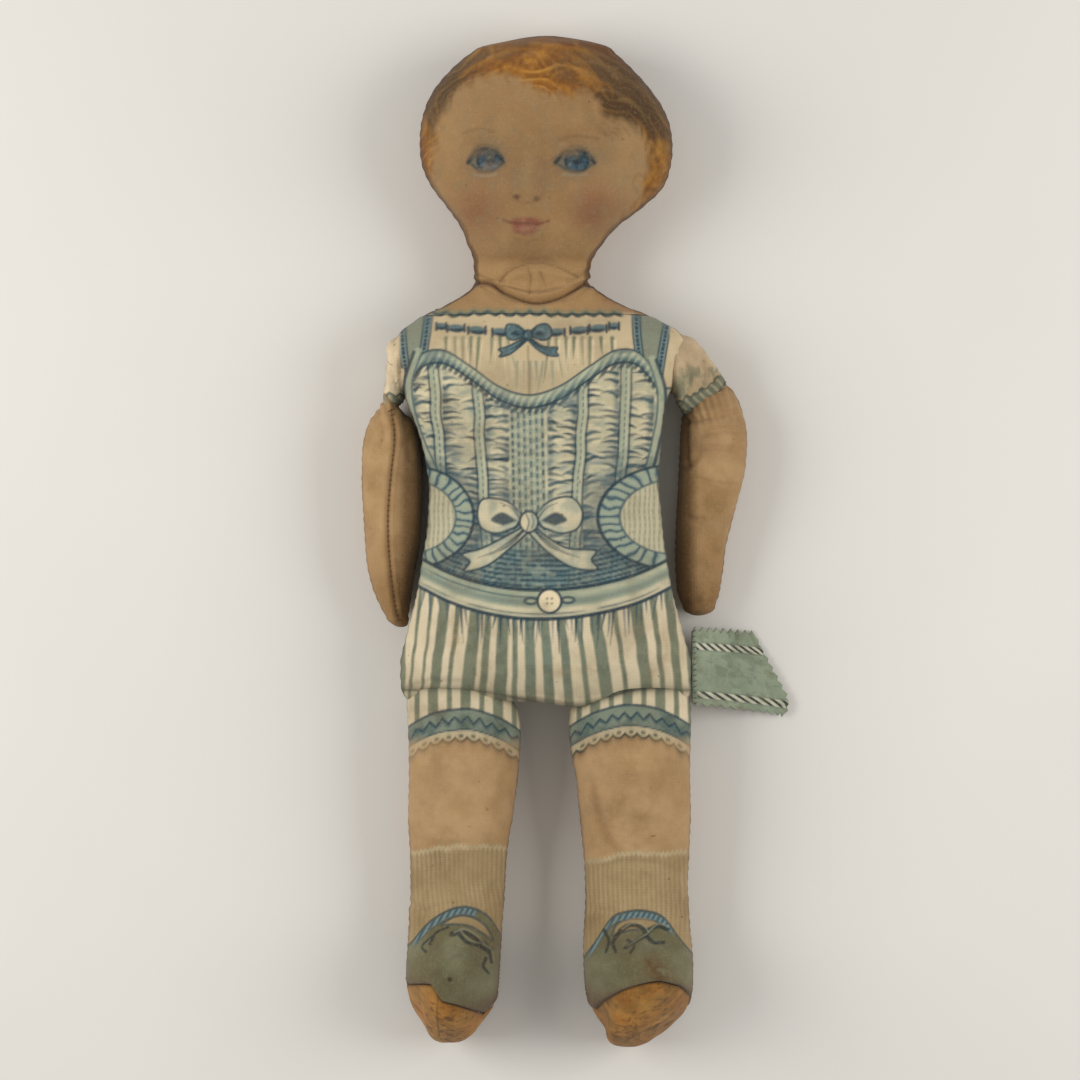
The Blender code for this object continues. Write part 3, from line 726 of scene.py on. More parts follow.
def hair_print(skin, dye):
    """Painted waves of hair: broad soft patches, then stroke over stroke."""
    u, v = skin.u, skin.v
    random = np.random.default_rng(17)
    reach = np.where(skin.front, np.hypot(u - 542, (v - 168) * 0.95), u + 0.15 * v)
    sway = 1.7 * clump(u, v, 34, 8) + 0.2 * clump(u, v, 14, 21)
    strand = np.sin(2 * pi * (reach / 13 + sway))
    fine = np.sin(2 * pi * (reach / 6.4 + 1.9 * sway + 0.15 * clump(u, v, 9, 23)))
    ash = np.clip(over(476 - u, 40) * over(122 - v, 44) + over(u - 574, 50) * over(142 - v, 44), 0, 1)
    hair = ground(skin, "#9a662b")
    lay(hair, "#785c43", 0.9 * ash)
    lay(hair, "#7d5a34", np.where(skin.front, 0, 0.5))
    lay(hair, "#74451b", 0.6 * over(-strand, 1.4) * (1 - ash))
    lay(hair, "#5a4431", 0.7 * over(-strand, 1.4) * ash)
    lay(hair, "#bb863c", 0.55 * over(strand - 0.3, 1.0) * (1 - 0.8 * ash))
    for code, strength, soft, outline in HAIR_PATCHES:
        ragged = 3.0 * clump(u, v, 7, 52)
        lay(hair, code, 0.8 * strength * over(inside_near(u, v, outline) + ragged, soft * 1.5))
    lay(hair, "#4b2d14", 0.3 * over(fine - 0.2, 1.0))
    lay(hair, "#c4954f", 0.25 * over(-fine - 0.5, 0.6) * over(strand, 1) * (1 - 0.6 * ash))
    for number in range(110):
        base = np.array(HAIR_WAVES[number % len(HAIR_WAVES)], float)
        shift = random.normal(0, 1, 2) * (5, 4)
        bend = random.normal(0, 1.6, base.shape)
        start = random.random() * 0.5
        line = smooth_line(base + shift + bend, 5)
        first = int(start * len(line))
        line = line[first:first + max(int(len(line) * 0.5), 4)]
        at = line[len(line) // 2]
        dim = at[0] < 466 and at[1] < 122 or at[0] > 588 and at[1] < 150
        light = random.random() < (0.3 if dim else 0.45)
        ink = ("#8d7153" if dim else "#ad7834") if light else (HAIR_DARK if dim else "#6d3f17")
        strength = 0.2 + 0.3 * random.random()
        lay(hair, ink, strength * pen(u, v, line[::2], 2.4 + 2.6 * random.random(), 3.0, 0.6))
    for centre in HAIR_CURLS:
        for ring in range(5):
            begin, size = random.random() * 2 * pi, 2.6 + 1.9 * ring
            turn = np.linspace(begin, begin + 3.4, 7)
            arc = np.c_[
                centre[0] + size * 1.25 * np.cos(turn), centre[1] + size * 0.8 * np.sin(turn) + 0.25 * ring * turn
            ]
            ink = ("#5e3512", "#ad7631", "#74441a")[ring % 3]
            lay(hair, ink, 0.38 * pen(u, v, arc, 3.4, 3.2, 0.5))
    ragged = 2.0 * clump(u, v, 8, 40) + 2.4 * clump(u * 2.6, v * 0.8, 8, 43)
    side = over(np.abs(u - 540) - 72, 44) * skin.front
    hair *= np.array((1.16, 1.11, 0.78)) * (1 - 0.12 * ash - 0.26 * side)[:, None]
    edge = -inside_line(u, v, np.array(FACE_EDGE, float)) + ragged
    cover = np.where(skin.front, over(edge, 10), over(262 + 8 * clump(u, v, 12, 9) - v, 5.0))
    dye += (hair - dye) * cover[:, None]
    for root in ((470, 84), (488, 77), (505, 78), (523, 84), (540, 91), (560, 98), (578, 94), (592, 102)):
        tip = (root[0] + random.normal(3, 3), root[1] + 7 + 4 * random.random())
        middle = ((root[0] + tip[0]) / 2 + random.normal(0, 3), (root[1] + tip[1]) / 2)
        stroke(skin, dye, "#96682f", 0.45, [root, middle, tip], 3.0, 2.4, 0.8)
    stroke(skin, dye, "#86653f", 0.35, [(584, 96), (590, 116), (602, 128), (616, 134)], 9, 8)
    for k in range(9):
        turn = 0.8 * k
        place = (604 + 10 * cos(turn) + 1.0 * k, 128 + 6 * sin(turn))
        stroke(
            skin, dye, "#6d5036", 0.3, [place, (place[0] + 5, place[1] + 2), (place[0] + 7, place[1] + 7)], 2.2, 2.4,
            0.5
        )


def eye_print(skin, dye, centre, size, look):
    """One painted eye: dim ball, deep blue iris, soft dark lids, and its lights."""
    u, v = skin.u, skin.v
    cu, cv = centre
    w, h = size
    on = skin.front
    lay(dye, "#5a5140", 0.5 * on * glow(u, v, (cu, cv - 2), (w * 1.15, h * 1.25)))
    almond = spot(u, v, (cu, cv + 1), (w, h * 0.8), 0.02, 3.5) * on
    lay(dye, EYE_BLUE, 0.22 * on * glow(u, v, (cu, cv + 2), (w * 1.1, h * 1.3)))
    lay(dye, EYE_PALE, 0.7 * almond)
    lay(dye, EYE_BLUE, 0.97 * almond * spot(u, v, (cu + look, cv), (h * 1.08, h * 1.0), 0, 3))
    lay(dye, EYE_LINE, 0.85 * almond * spot(u, v, (cu + look, cv - 0.5), (h * 0.48, h * 0.48), 0, 2.5))
    ring = np.abs(np.hypot(u - cu - look, v - cv) - h * 0.98)
    lay(dye, EYE_LINE, 0.75 * almond * np.clip(2.0 - ring, 0, 1))
    for k in range(14):
        turn = 2 * pi * k / 14 + 0.2
        inner = (cu + look + cos(turn) * h * 0.45, cv + sin(turn) * h * 0.45)
        outer = (cu + look + cos(turn + 0.15) * h * 0.9, cv + sin(turn + 0.15) * h * 0.9)
        lay(dye, "#4d6c7a" if k % 3 else EYE_LINE, 0.32 * almond * pen(u, v, [inner, outer], 1.8, 2.0))
    lay(dye, EYE_LINE, 0.6 * almond * over(cv - h * 0.15 - v, 7))
    upper = [
        (cu - w, cv + 2), (cu - w * 0.6, cv - h * 0.66), (cu + 1, cv - h * 0.92), (cu + w * 0.62, cv - h * 0.62),
        (cu + w, cv + 2)
    ]
    lower = [
        (cu - w * 0.8, cv + 4), (cu - w * 0.3, cv + h * 0.88), (cu + w * 0.35, cv + h * 0.88), (cu + w * 0.85, cv + 4)
    ]
    lid = [(cu - w, cv - 4), (cu - w * 0.4, cv - h * 1.16), (cu + w * 0.5, cv - h * 1.12), (cu + w, cv - 3)]
    stroke(skin, dye, EYE_LINE, 0.9, upper, 4.2, 2.6)
    stroke(skin, dye, EYE_LINE, 0.7, lower, 2.2, 2.4)
    stroke(skin, dye, EYE_LINE, 0.4, lid, 1.8, 3.0)
    stroke(
        skin, dye, "#96988a", 0.35,
        [(cu - w * 0.6, cv + h * 0.98 + 2), (cu, cv + h * 1.1 + 2), (cu + w * 0.6, cv + h * 0.98 + 2)], 1.8, 2.0
    )
    lay(dye, "#8d958c", 0.25 * almond * spot(u, v, (cu + look - 2.0, cv - 2.5), (2.2, 1.6), 0, 2.0))
    lay(dye, "#7f8a86", 0.2 * almond * spot(u, v, (cu + look - 6.5, cv + 3.5), (3.0, 1.6), -0.5, 2.2))


def face_print(skin, dye):
    """Brows, eyes, nose, mouth and blush, with painted shade at the sides of the nose and a painted highlight on its
    bridge.
    """
    u, v, on = skin.u, skin.v, skin.front
    lay(dye, FACE_SOIL, 0.72 * on * glow(u, v, (532, 170), (92, 92)) * over(258 - v, 14))
    lay(dye, "#7d5f3c", 0.45 * on * glow(u, v, (525, 243), (52, 20)))
    lay(dye, "#84663f", 0.18 * on * glow(u, v, (535, 140), (70, 22)))
    for place, strength in (((477, 208), 0.62), ((592, 208), 0.72)):
        lay(dye, BLUSH, strength * on * glow(u, v, place, (24, 22)))
    eye_print(skin, dye, (485.5, 160.5), (17.5, 12.5), 4.0)
    eye_print(skin, dye, (575, 161), (19.5, 11.5), 2.0)
    for line in (((463, 134), (478, 129), (496, 132)), ((560, 140), (577, 136), (598, 139))):
        stroke(skin, dye, "#6b4d33", 0.42, line, 2.6, 3.0)
    # Painted shade at both sides of the nose, and a painted highlight on its bridge
    lay(dye, "#75674f", 0.22 * on * (glow(u, v, (516, 180), (6, 16)) + glow(u, v, (542, 180), (6, 16))))
    lay(dye, "#a58a62", 0.35 * on * glow(u, v, (528, 172), (6, 26)))
    for place in ((517, 196.5), (536.5, 198.5)):
        lay(dye, "#4c3428", 0.75 * on * spot(u, v, place, (3.4, 2.2), 0, 2.2))
    stroke(skin, dye, "#73573c", 0.4, [(510, 193), (517, 200), (527, 202), (537, 201), (543, 195)], 2.2, 2.6)
    mouth = spot(u, v, (526, 221.5), (15, 5.0), 0.02, 3.0) + spot(u, v, (526, 227.5), (12.5, 6.5), 0, 3.5)
    lay(dye, LIP, 0.85 * on * np.clip(mouth, 0, 1))
    lay(dye, "#ad7863", 0.4 * on * spot(u, v, (525, 228), (6, 2.6), 0, 3))
    stroke(skin, dye, "#6b3d31", 0.85, [(503, 219.5), (514, 223), (526, 222.5), (538, 223.5), (549, 220.5)], 1.9, 1.8)
    stroke(skin, dye, "#7b5537", 0.3, [(516, 238), (526, 241), (537, 239)], 2.4, 3.5)
    lay(dye, "#86785a", 0.28 * on * patchy(u, v, 11, 71, 0.5, -0.2) * over(240 - v, 20) * over(v - 100, 20))
    lay(dye, "#a8865a", 0.3 * on * patchy(u, v, 17, 73, 0.5, -0.25))
    ear = pen(u, v, [(634, 204), (643, 192), (645, 180), (638, 174), (633, 183), (637, 192)], 2.2, 2.4)
    lay(dye, "#7c5b3a", 0.4 * on * ear)


def neckline_trim(skin, dye):
    """The scalloped edge of the chemise, close under the shoulders."""
    u, v = skin.u, skin.v
    scallops = 312.6 + 2.6 * np.abs(np.sin(pi * (u - 432) / 14.0)) + 1.0 * clump(u, v * 0, 14, 6)
    within = over(u - 432, 4) * over(622 - u, 4)
    lay(dye, "#7d8468", 0.6 * band(v - scallops + 2.5, 5.0, 3) * within)
    lay(dye, "#475c58", 0.95 * band(v - scallops, 3.6, 2.0) * within)
    lay(dye, TEAL_DARK, 0.7 * band(v - scallops - 1.2, 1.8, 1.6) * within * over(np.sin(u * 0.7), 0.8))


def shoulder_ground(skin, dye):
    """Bare shoulders above the chemise, the same on the torso and the neck."""
    u, v = skin.u, skin.v
    lay(dye, NECK_PRINT, np.ones(len(u)))
    lay(dye, "#a2825a", 0.6 * patchy(u, v, 46, 61, 0.8, -0.05))
    lay(dye, PINK_CREAM, over(v - 313, 3))


NECK_FOLD = [(470, 283), (490, 284), (507, 294), (534, 302), (560, 297), (582, 285), (597, 280)]
CHIN_FOLD = [(500, 281), (512, 270), (534, 264), (556, 267), (578, 277)]
NECK_WRINKLES = (
    ((478, 274), (492, 279), (506, 281)), ((528, 268), (531, 280), (529, 296)), ((504, 286), (530, 291), (556, 287)),
    ((590, 268), (578, 277), (566, 282)), ((482, 288), (500, 298), (518, 304)), ((592, 284), (580, 295), (562, 303)),
    ((540, 272), (543, 280), (546, 286)),
)


def head_paint(skin):
    """The print of the head: shoulders, face and hair, painted shade under the chin and in the folds of the neck, a
    dark edge round its outline, and the soil held in its seams.
    """
    u, v = skin.u, skin.v
    dye = ground(skin, NECK_PRINT)
    shoulder_ground(skin, dye)
    face_print(skin, dye)
    hair_print(skin, dye)
    # Painted shade under the chin
    lay(dye, "#76552f", 0.5 * skin.front * glow(u, v, (532, 258), (56, 6)))
    # Painted shade in the fold of the neck: a soft band, and a dark line in its groove
    stroke(skin, dye, "#7d5a34", 0.45, NECK_FOLD, 7, 6)
    stroke(skin, dye, "#402814", 0.85, NECK_FOLD, 2.0, 2.0)
    # Painted shade in the fold under the chin and in the small wrinkles of the neck
    stroke(skin, dye, SEAM_SOIL_AND_FOLD_SHADE, 0.55, CHIN_FOLD, 1.6, 2.2)
    for line in NECK_WRINKLES:
        stroke(skin, dye, SEAM_SOIL_AND_FOLD_SHADE, 0.35, line, 1.5, 2.6, 0.6)
    seam_line(skin, dye, "#3d2415", 0.0032, 0.9)
    lay(dye, "#6b4526", 0.35 * skin.front * np.exp(-np.minimum(skin.rim, skin.along.max() - skin.along) / 0.0028))
    rim_line(skin, dye, "#33200f", 0.0027, 0.95)
    near = skin.front * bell(skin.edge / 0.01)
    lay(dye, "#3b2413", 0.85 * near * over((0.004 - skin.along.max() + skin.along) / SQUARE, 3))
    neckline_trim(skin, dye)
    return dye, np.full(len(u), 0.2)


def head_folds(skin):
    """Brow, cheeks, nose and chin pressed from the stuffing, and the folds of the neck."""
    u, v, on = skin.u, skin.v, skin.front
    shared = over(v - 298, 14)
    move = seam_folds(skin, 0.0007, 0.00028)
    move += stuffing_lumps(skin, 0.0006, 0.034) * (1 - shared) + stuffing_lumps(skin, 0.0009, 0.036, 44) * shared
    move += on * 0.0016 * glow(u, v, (527, 188), (10, 22))
    move += on * 0.0013 * (glow(u, v, (480, 206), (26, 22)) + glow(u, v, (590, 206), (26, 22)))
    move += on * 0.0016 * glow(u, v, (526, 238), (34, 14))
    move -= on * 0.0012 * (glow(u, v, (485, 160), (20, 13)) + glow(u, v, (575, 160), (20, 13)))
    move -= on * 0.0022 * glow(u, v, (534, 262), (52, 8))
    move += crease(skin, NECK_FOLD, 0.0024, 2.8)
    move += crease(skin, CHIN_FOLD, 0.0011, 3.0)
    move += creases(skin, NECK_WRINKLES, 0.0008, 2.6)
    return move + NECK_OVER_TORSO


# Underclothes, printed on the torso

NECKLINE = (
    (398, 420, 440, 470, 498, 528, 560, 590, 618, 640, 664), (392, 356, 350, 366, 386, 395, 386, 366, 350, 354, 388)
)
WAIST_TOP = ((416, 450, 495, 545, 600, 640, 676), (556, 573, 586, 590, 584, 573, 556))
CORDS = (440, 482, 580, 622)


def gathers(skin, dye, random, places, tops, reach, code, width, strength):
    """Short tapered strokes, where cloth is drawn into a band."""
    for place, start in zip(places, tops):
        length = reach * (0.45 + 0.8 * random.random())
        sway = random.normal(0, 2.5)
        line = [(place, start), (place + sway * 0.4, start + length * 0.5), (place + sway, start + length)]
        lay(dye, code, strength * (0.5 + 0.5 * random.random()) * pen(skin.u, skin.v, line, width, 1.6, 0.9))


def chemise_print(skin, dye, random):
    """Cream chemise: scalloped edge, threaded ribbon and fine gathers."""
    u, v = skin.u, skin.v
    lay(dye, "#b7a582", 0.5 * patchy(u, v, 22, 64, 0.9) * over(v - 320, 6))
    lay(dye, "#a39475", 0.5 * glow(u, v, (530, 385), (120, 18)))
    places = np.array([446, 455, 463, 471, 479, 492, 500, 508, 549, 556, 566, 574, 582, 590, 601, 612])
    level = np.ones(len(places))
    gathers(skin, dye, random, places, 338 * level, 42, "#6a7a62", 3.8, 0.9)
    gathers(skin, dye, random, places + 3, 341 * level, 34, "#cdbf9f", 3.0, 0.7)
    gathers(skin, dye, random, (524, 530, 536, 543, 517, 552), 362 * level, 30, "#7f8b7a", 3.4, 0.7)
    stroke(skin, dye, "#8f6f48", 0.55, [(528, 346), (528.5, 370), (529, 394)], 1.8, 1.6)
    neckline_trim(skin, dye)
    if skin.front.any():
        slots = (441, 456, 477, 501, 556, 579, 598, 614)
        for number, place in enumerate(slots):
            size = (4.8, 3.4) if number in (0, 7) else (8.6, 3.8)
            at = (place, 333 - 0.0009 * (place - 528) ** 2)
            slot = spot(u, v, at, size, 0.1 if place < 530 else -0.1, 2.0) * skin.front
            lay(dye, TEAL, 0.95 * slot)
            lay(dye, TEAL_SOFT, 0.7 * slot * over(at[1] - v, 2.5))
            lay(dye, TEAL_DARK, 0.9 * slot * over(v - at[1] - 0.8, 2.0))
            for end in (place - size[0], place + size[0]):
                stroke(skin, dye, TEAL_DARK, 0.9, [(end, at[1] - 3.4), (end, at[1] + 3.4)], 2.4, 1.5)
        ribbon_bow(skin, dye, (528, 334), 0.42, TEAL_SOFT, TEAL_DARK)


def ribbon_bow(skin, dye, centre, size, cloth, ink):
    """A flat ribbon bow: two loops, a knot and two notched tails."""
    u, v, on = skin.u, skin.v, skin.front
    cu, cv = centre

    def at(points):
        return [(cu + a * size, cv + b * size) for a, b in points]

    tails = (
        at([(-4, 6), (-26, 18), (-50, 30), (-70, 36), (-62, 44), (-68, 54), (-44, 48), (-20, 30), (-2, 14)]),
        at([(4, 6), (22, 20), (42, 30), (70, 32), (66, 42), (72, 52), (46, 50), (20, 34), (0, 14)]),
    )
    loops = (
        at([(-6, -4), (-24, -20), (-48, -22), (-54, -8), (-50, 8), (-34, 14), (-14, 8)]),
        at([(6, -4), (22, -20), (44, -24), (56, -10), (52, 8), (34, 14), (14, 8)]),
    )
    shade = "#8f9a8a" if size > 0.6 else TEAL
    for outline in (*tails, *loops):
        inside = inside_near(u, v, outline)
        cover = on * over(inside, 1.6)
        lay(dye, cloth, 0.97 * cover)
        lay(dye, shade, 0.55 * cover * patchy(u * 1.4, v, 9 * size + 3, 57, 0.6, -0.05))
        lay(dye, shade, 0.6 * cover * np.exp(-inside / (3.0 * size + 0.5)) * over(v - cv, 12))
        lay(dye, ink, 0.92 * on * band(inside, 2.0 * max(size, 0.8), 1.5))
    for side in (-1, 1):
        hollow = at([(side * 12, 1), (side * 28, -8), (side * 40, 0), (side * 27, 6)])
        lay(dye, ink, 0.85 * on * over(inside_near(u, v, hollow), 2.4))
        for a, b in (
            (13, -13), (20, -17), (30, -18), (24, 10), (16, 8), (40, 9), (20, 24), (30, 32), (42, 37), (54, 40)
        ):
            low = b > 12
            fold = at(
                [
                    (side * (7 if low else 9), 12 if low else -1), (side * a * 0.6, b * 0.7 + (3 if low else 0)),
                    (side * a, b)
                ]
            )
            stroke(skin, dye, ink if a % 20 else shade, 0.6, fold, 2.4, 1.6, 0.8)
    knot = spot(u, v, (cu, cv + 2 * size), (9.5 * size, 11 * size), 0, 1.6)
    lay(dye, cloth, on * knot)
    lay(dye, shade, 0.7 * on * knot * over(u - cu - 1, 6))
    lay(dye, ink,
        0.9 * on * band((np.hypot((u - cu) / 9.5, (v - cv - 2 * size) / 11) / size - 1) * 10 * size, 2.0, 1.6))
    stroke(skin, dye, ink, 0.6, at([(-3, -6), (0, 2), (-2, 10)]), 1.6, 1.5)
    stroke(skin, dye, ink, 0.5, at([(3, -5), (5, 2), (3, 8)]), 1.4, 1.5)


def inside_near(u, v, outline):
    """inside_line, worked out only near the outline."""
    outline = np.array(outline, float)
    low, high = outline.min(0) - 6, outline.max(0) + 6
    near = np.nonzero((u > low[0]) & (u < high[0]) & (v > low[1]) & (v < high[1]))[0]
    gap = np.full(len(u), -9.0)
    if len(near):
        gap[near] = inside_line(u[near], v[near], outline)
    return gap


def bodice_print(skin, dye, random):
    """Ruched bodice: bound neckline, corded channels, and a plaited middle."""
    u, v = skin.u, skin.v
    top, low = curve(u, *NECKLINE), curve(u, *WAIST_TOP)
    body = over(v - top, 2.0) * over(low - v, 2.0)
    depth = np.clip((v - 395) / 190, 0, 1)
    lay(dye, "#b5ae8f", 0.96 * body)
    lay(dye, TEAL_SOFT, body * np.clip(0.8 * mottle(u, v * 2.4, 15, 71) - 0.05 + 0.6 * depth**2, 0, 0.85))
    lay(dye, "#ccbd9a", body * np.clip(1.3 * mottle(u, v * 1.8, 12, 75) - 0.05 - 0.7 * depth**2, 0, 0.85))
    edges = [410, 440, 482, 512, 545, 580, 622, 656]
    for left, right in zip(edges[:-1], edges[1:]):
        if (left, right) == (512, 545):
            continue
        for start in np.arange(368, 584, 5.6):
            at = start + random.normal(0, 1.6)
            if at < float(curve(np.array([(left + right) / 2.0]), *NECKLINE)[0]) + 14:
                continue
            deep = 0.35 + 0.65 * np.clip((at - 430) / 120, 0, 1)
            for side, way in ((left + 5, 1), (right - 5, -1)):
                if random.random() < 0.28:
                    continue
                length = (7 + 13 * random.random()) * (0.8 + 0.5 * deep)
                bend = random.normal(0, 2.0)
                line = [(side, at), (side + way * length * 0.5, at + bend * 0.6 - 1), (side + way * length, at + bend)]
                ink = TEAL_DARK if random.random() < 0.45 + 0.4 * deep else TEAL
                lay(dye, ink,
                    body * (0.55 + 0.45 * random.random()) * pen(u, v, line, 3.6 + 1.6 * random.random(), 1.6, 0.9))
                above = [(a, b - 3.4) for a, b in line]
                lay(dye, "#ccc09f", body * 0.5 * pen(u, v, above, 2.6, 1.8, 0.7) * (1 - 0.6 * depth))
        gap = np.abs(u - (left + right) / 2) - (right - left) / 2 + 5
        lay(dye, TEAL, 0.55 * body * bell(gap / 3.6) * patchy(u, v, 8, 79, 0.8, 0.1))
    for cord in CORDS:
        lean = cord + (v - 460) * (0.07 if cord < 530 else -0.05) + 1.2 * clump(v, v * 0, 21, cord)
        lay(dye, TEAL_DARK, 0.75 * body * band(np.abs(u - lean) - 5.2, 1.8, 1.6))
        lay(dye, PALE_GREEN, 0.95 * body * band(u - lean, 8.0, 1.6))
        lay(dye, TEAL, 0.65 * body * band(u - lean, 1.3, 1.2) * over(np.sin(v * 0.95) + 0.3, 0.7))
        lay(dye, CREAM, 0.5 * body * band(u - lean - 2.4, 2.2, 1.6))
    middle = band(u - 528 - 0.02 * (v - 460), 34, 2)
    lay(dye, "#8f9885", 0.85 * body * middle)
    for number, place in enumerate((513, 519, 525, 531, 537, 543)):
        beat = np.sin((v + number * 5.0) * (0.62 if number % 2 else 0.8) + 2 * clump(v, v * 0, 30, number))
        line = place + 0.02 * (v - 460)
        lay(dye, TEAL_DARK if number in (0, 5) else TEAL,
            0.75 * body * band(u - line, 2.2, 1.5) * over(beat + 0.25, 0.6))
        lay(dye, CREAM, 0.65 * body * band(u - line - 3, 1.8, 1.5) * over(-beat, 0.6))
    for row in (432, 461, 486):
        lay(dye, PALE_GREEN, 0.5 * body * middle * band(v - row - 1.5 * np.sin(u * 0.4), 3.4, 2))
    bound = top + 13
    lay(dye, "#9aa088", 0.95 * over(v - top, 1.8) * over(bound - v, 1.8))
    slant = np.sin((u * 0.85 + v * 0.5) + 1.6 * clump(u, v, 16, 91))
    lay(dye, TEAL_SOFT, 0.5 * over(v - top - 4, 3) * over(bound - v, 1.8) * over(slant, 0.9))
    lay(dye, "#bdb795", 0.5 * band(v - top - 4, 5, 3) * over(-slant, 0.9))
    lay(dye, TEAL, 0.75 * over(v - top - 8.5, 3) * over(bound - v, 1.8) * over(slant + 0.5, 1.2))
    lay(dye, TEAL_DARK, 0.85 * band(v - top, 2.0, 1.4))
    lay(dye, TEAL_DARK, 0.9 * band(v - bound, 2.6, 1.6))
    lay(dye, TEAL_DARK, 0.7 * band(v - bound - 3, 6.0, 3) * over(slant + 0.3, 0.8))
    for side_line in (
        ((414, 352), (404, 385), (409, 420), (423, 456), (430, 470)),
        ((656, 360), (665, 390), (663, 425), (655, 462), (650, 478))
    ):
        way = 1 if side_line[0][0] < 530 else -1
        inner = [(a + 8 * way, b) for a, b in side_line]
        lay(dye, PALE_GREEN, 0.8 * pen(u, v, [(a + 4 * way, b) for a, b in side_line], 9, 2))
        lay(dye, TEAL_DARK, 0.85 * pen(u, v, side_line, 3.2, 1.8))
        lay(dye, TEAL, 0.75 * pen(u, v, inner, 2.0, 1.6))
    return body


def side_panel(skin, dye, body, centre, size):
    """A side panel of fine tucks in a pleated frill."""
    u, v = skin.u, skin.v
    a, b = (u - centre[0]) / size[0], (v - centre[1]) / size[1]
    far = np.hypot(a, b)
    gap = (1 - far) * min(size)
    turn = np.arctan2(b, a)
    frill = over(gap, 1.8) * body
    lay(dye, "#98a089", 0.96 * frill)
    pleats = np.sin(turn * 34 + 2 * clump(u, v, 9, 101))
    lay(dye, TEAL_SOFT, 0.75 * frill * over(pleats, 0.9))
    lay(dye, TEAL_DARK, 0.65 * frill * over(pleats - 0.72, 0.3))
    field = over(gap - 15, 1.8) * body
    lay(dye, "#b6ad90", 0.96 * field)
    tucks = np.sin(u * 1.25 + 0.5 * np.sin(v * 0.2))
    lay(dye, "#868a70", 0.55 * field * over(tucks - 0.2, 0.7) * (0.6 + 0.4 * over(np.sin(v * 0.9), 1)))
    lay(dye, TEAL, 0.8 * band(gap - 15, 1.8, 1.5) * body)
    lay(dye, TEAL_DARK, 0.92 * band(gap, 2.6, 1.6) * body)
    lay(dye, TEAL_DARK, 0.35 * bell((gap + 5) / 5) * body * (gap < 0))


# Middle and width of each green stripe on the front of the shorts
STRIPES = (
    (414, 3), (425.8, 3), (438.5, 10), (452.5, 4.4), (471, 12.5), (485.4, 7), (501.7, 11.7), (515, 5), (530, 10),
    (547, 9.4), (565, 8.4), (582.5, 5), (601.3, 12.5), (621.3, 4.6), (642.5, 11.7), (659.2, 5.2), (675, 8.4),
    (688, 3.4),
)


def shorts_print(skin, dye, legs):
    """Wide and narrow green stripes on cream, drawn in under the waistband."""
    u, v = skin.u, skin.v
    lean = ((400, 460, 520, 545, 600, 650, 700), (-0.1, -0.13, 0.0, 0.06, 0.16, 0.13, 0.06))
    drop = np.clip(v - 655, -60, 48)
    fan = u - np.interp(u - np.interp(u, *lean) * drop, *lean) * drop + 0.8 * clump(u * 0.2, v, 15, 111)
    lay(dye, "#c6b79a", np.ones(len(u)))
    lay(dye, "#b2a584", 0.45 * patchy(u, v, 30, 118, 0.9))
    green = np.zeros(len(u))
    for middle, width in STRIPES:
        green = np.maximum(green, band(fan - middle, width, 1.8))
    beyond = (fan < 409) | (fan > 692) | ~skin.front
    regular = np.maximum(band((u - 417) % 32.4 - 16.2, 10, 1.8), band((u - 417 - 16.2) % 32.4 - 16.2, 5, 1.8))
    green = np.where(beyond | legs, regular, green)
    lay(dye, GREEN_STRIPE, 0.95 * green)
    lay(dye, "#6d8a80", 0.35 * green * glow(u, v, (560, 655), (60, 40)))
    lay(dye, "#5f6b58", 0.35 * green * patchy(u, v, 10, 113, 0.5, -0.15))


def waist_print(skin, dye, random):
    """Curved waistband with a button, and gathers under it."""
    u, v = skin.u, skin.v
    top = curve(u, *WAIST_TOP)
    low = top + 29
    places = np.arange(424, 672, 6.4) + random.normal(0, 1.5, 39)
    tops = curve(places, *WAIST_TOP) + 28
    gathers(skin, dye, random, places, tops, 26, TEAL, 3.4, 0.95)
    gathers(skin, dye, random, places[6:-6:3], tops[6:-6:3], 34, TEAL_DARK, 3.0, 0.9)
    strip = over(v - top, 1.6) * over(low - v, 1.6)
    lay(dye, PALE_GREEN, 0.97 * strip)
    lay(dye, CREAM, 0.85 * strip * over(v - top - 18, 3.5))
    lay(dye, CREAM, 0.55 * strip * band(v - top - 5, 3.0, 3) * over(u - 590, 20))
    lay(dye, "#889382", 0.5 * strip * patchy(u, v * 3, 22, 121, 0.8))
    lay(dye, "#6f8078", 0.6 * strip * band(v - top - 13, 7, 5))
    lay(dye, TEAL_DARK, 0.95 * band(v - top, 3.6, 1.6))
    lay(dye, TEAL_DARK, 0.95 * band(v - low, 3.6, 1.6))
    lay(dye, TEAL, 0.75 * strip * band(v - top - 7.5, 1.8, 1.5) * over(552 - u, 6) * over(u - 430, 20))
    lay(dye, TEAL_DARK, 0.6 * strip * band(v - low + 5, 1.6, 1.5) * patchy(u, v, 26, 123, 0.5, 0.3))
    on = skin.front * 1.0
    for place in ((531, 601), (568, 600)):
        lay(dye, TEAL_DARK, 0.9 * on * spot(u, v, place, (7.5, 4.0), 0, 1.6))
        lay(dye, PALE_GREEN, 0.9 * on * spot(u, v, place, (4.6, 1.8), 0, 1.6))
    far = np.hypot(u - 549.5, v - 601)
    lay(dye, "#cdbd9c", on * over(11.8 - far, 1.6))
    lay(dye, "#a89878", 0.6 * on * glow(u, v, (545, 606), (5, 5)))
    lay(dye, TEAL_DARK, 0.95 * on * band(far - 11.8, 2.4, 1.5))
    for a, b in ((-2.4, -2.4), (2.4, 2.4), (-2.4, 2.4), (2.4, -2.4)):
        lay(dye, "#7c6a4c", 0.75 * on * spot(u, v, (549.5 + a, 601 + b), (1.2, 1.2), 0, 1.2))


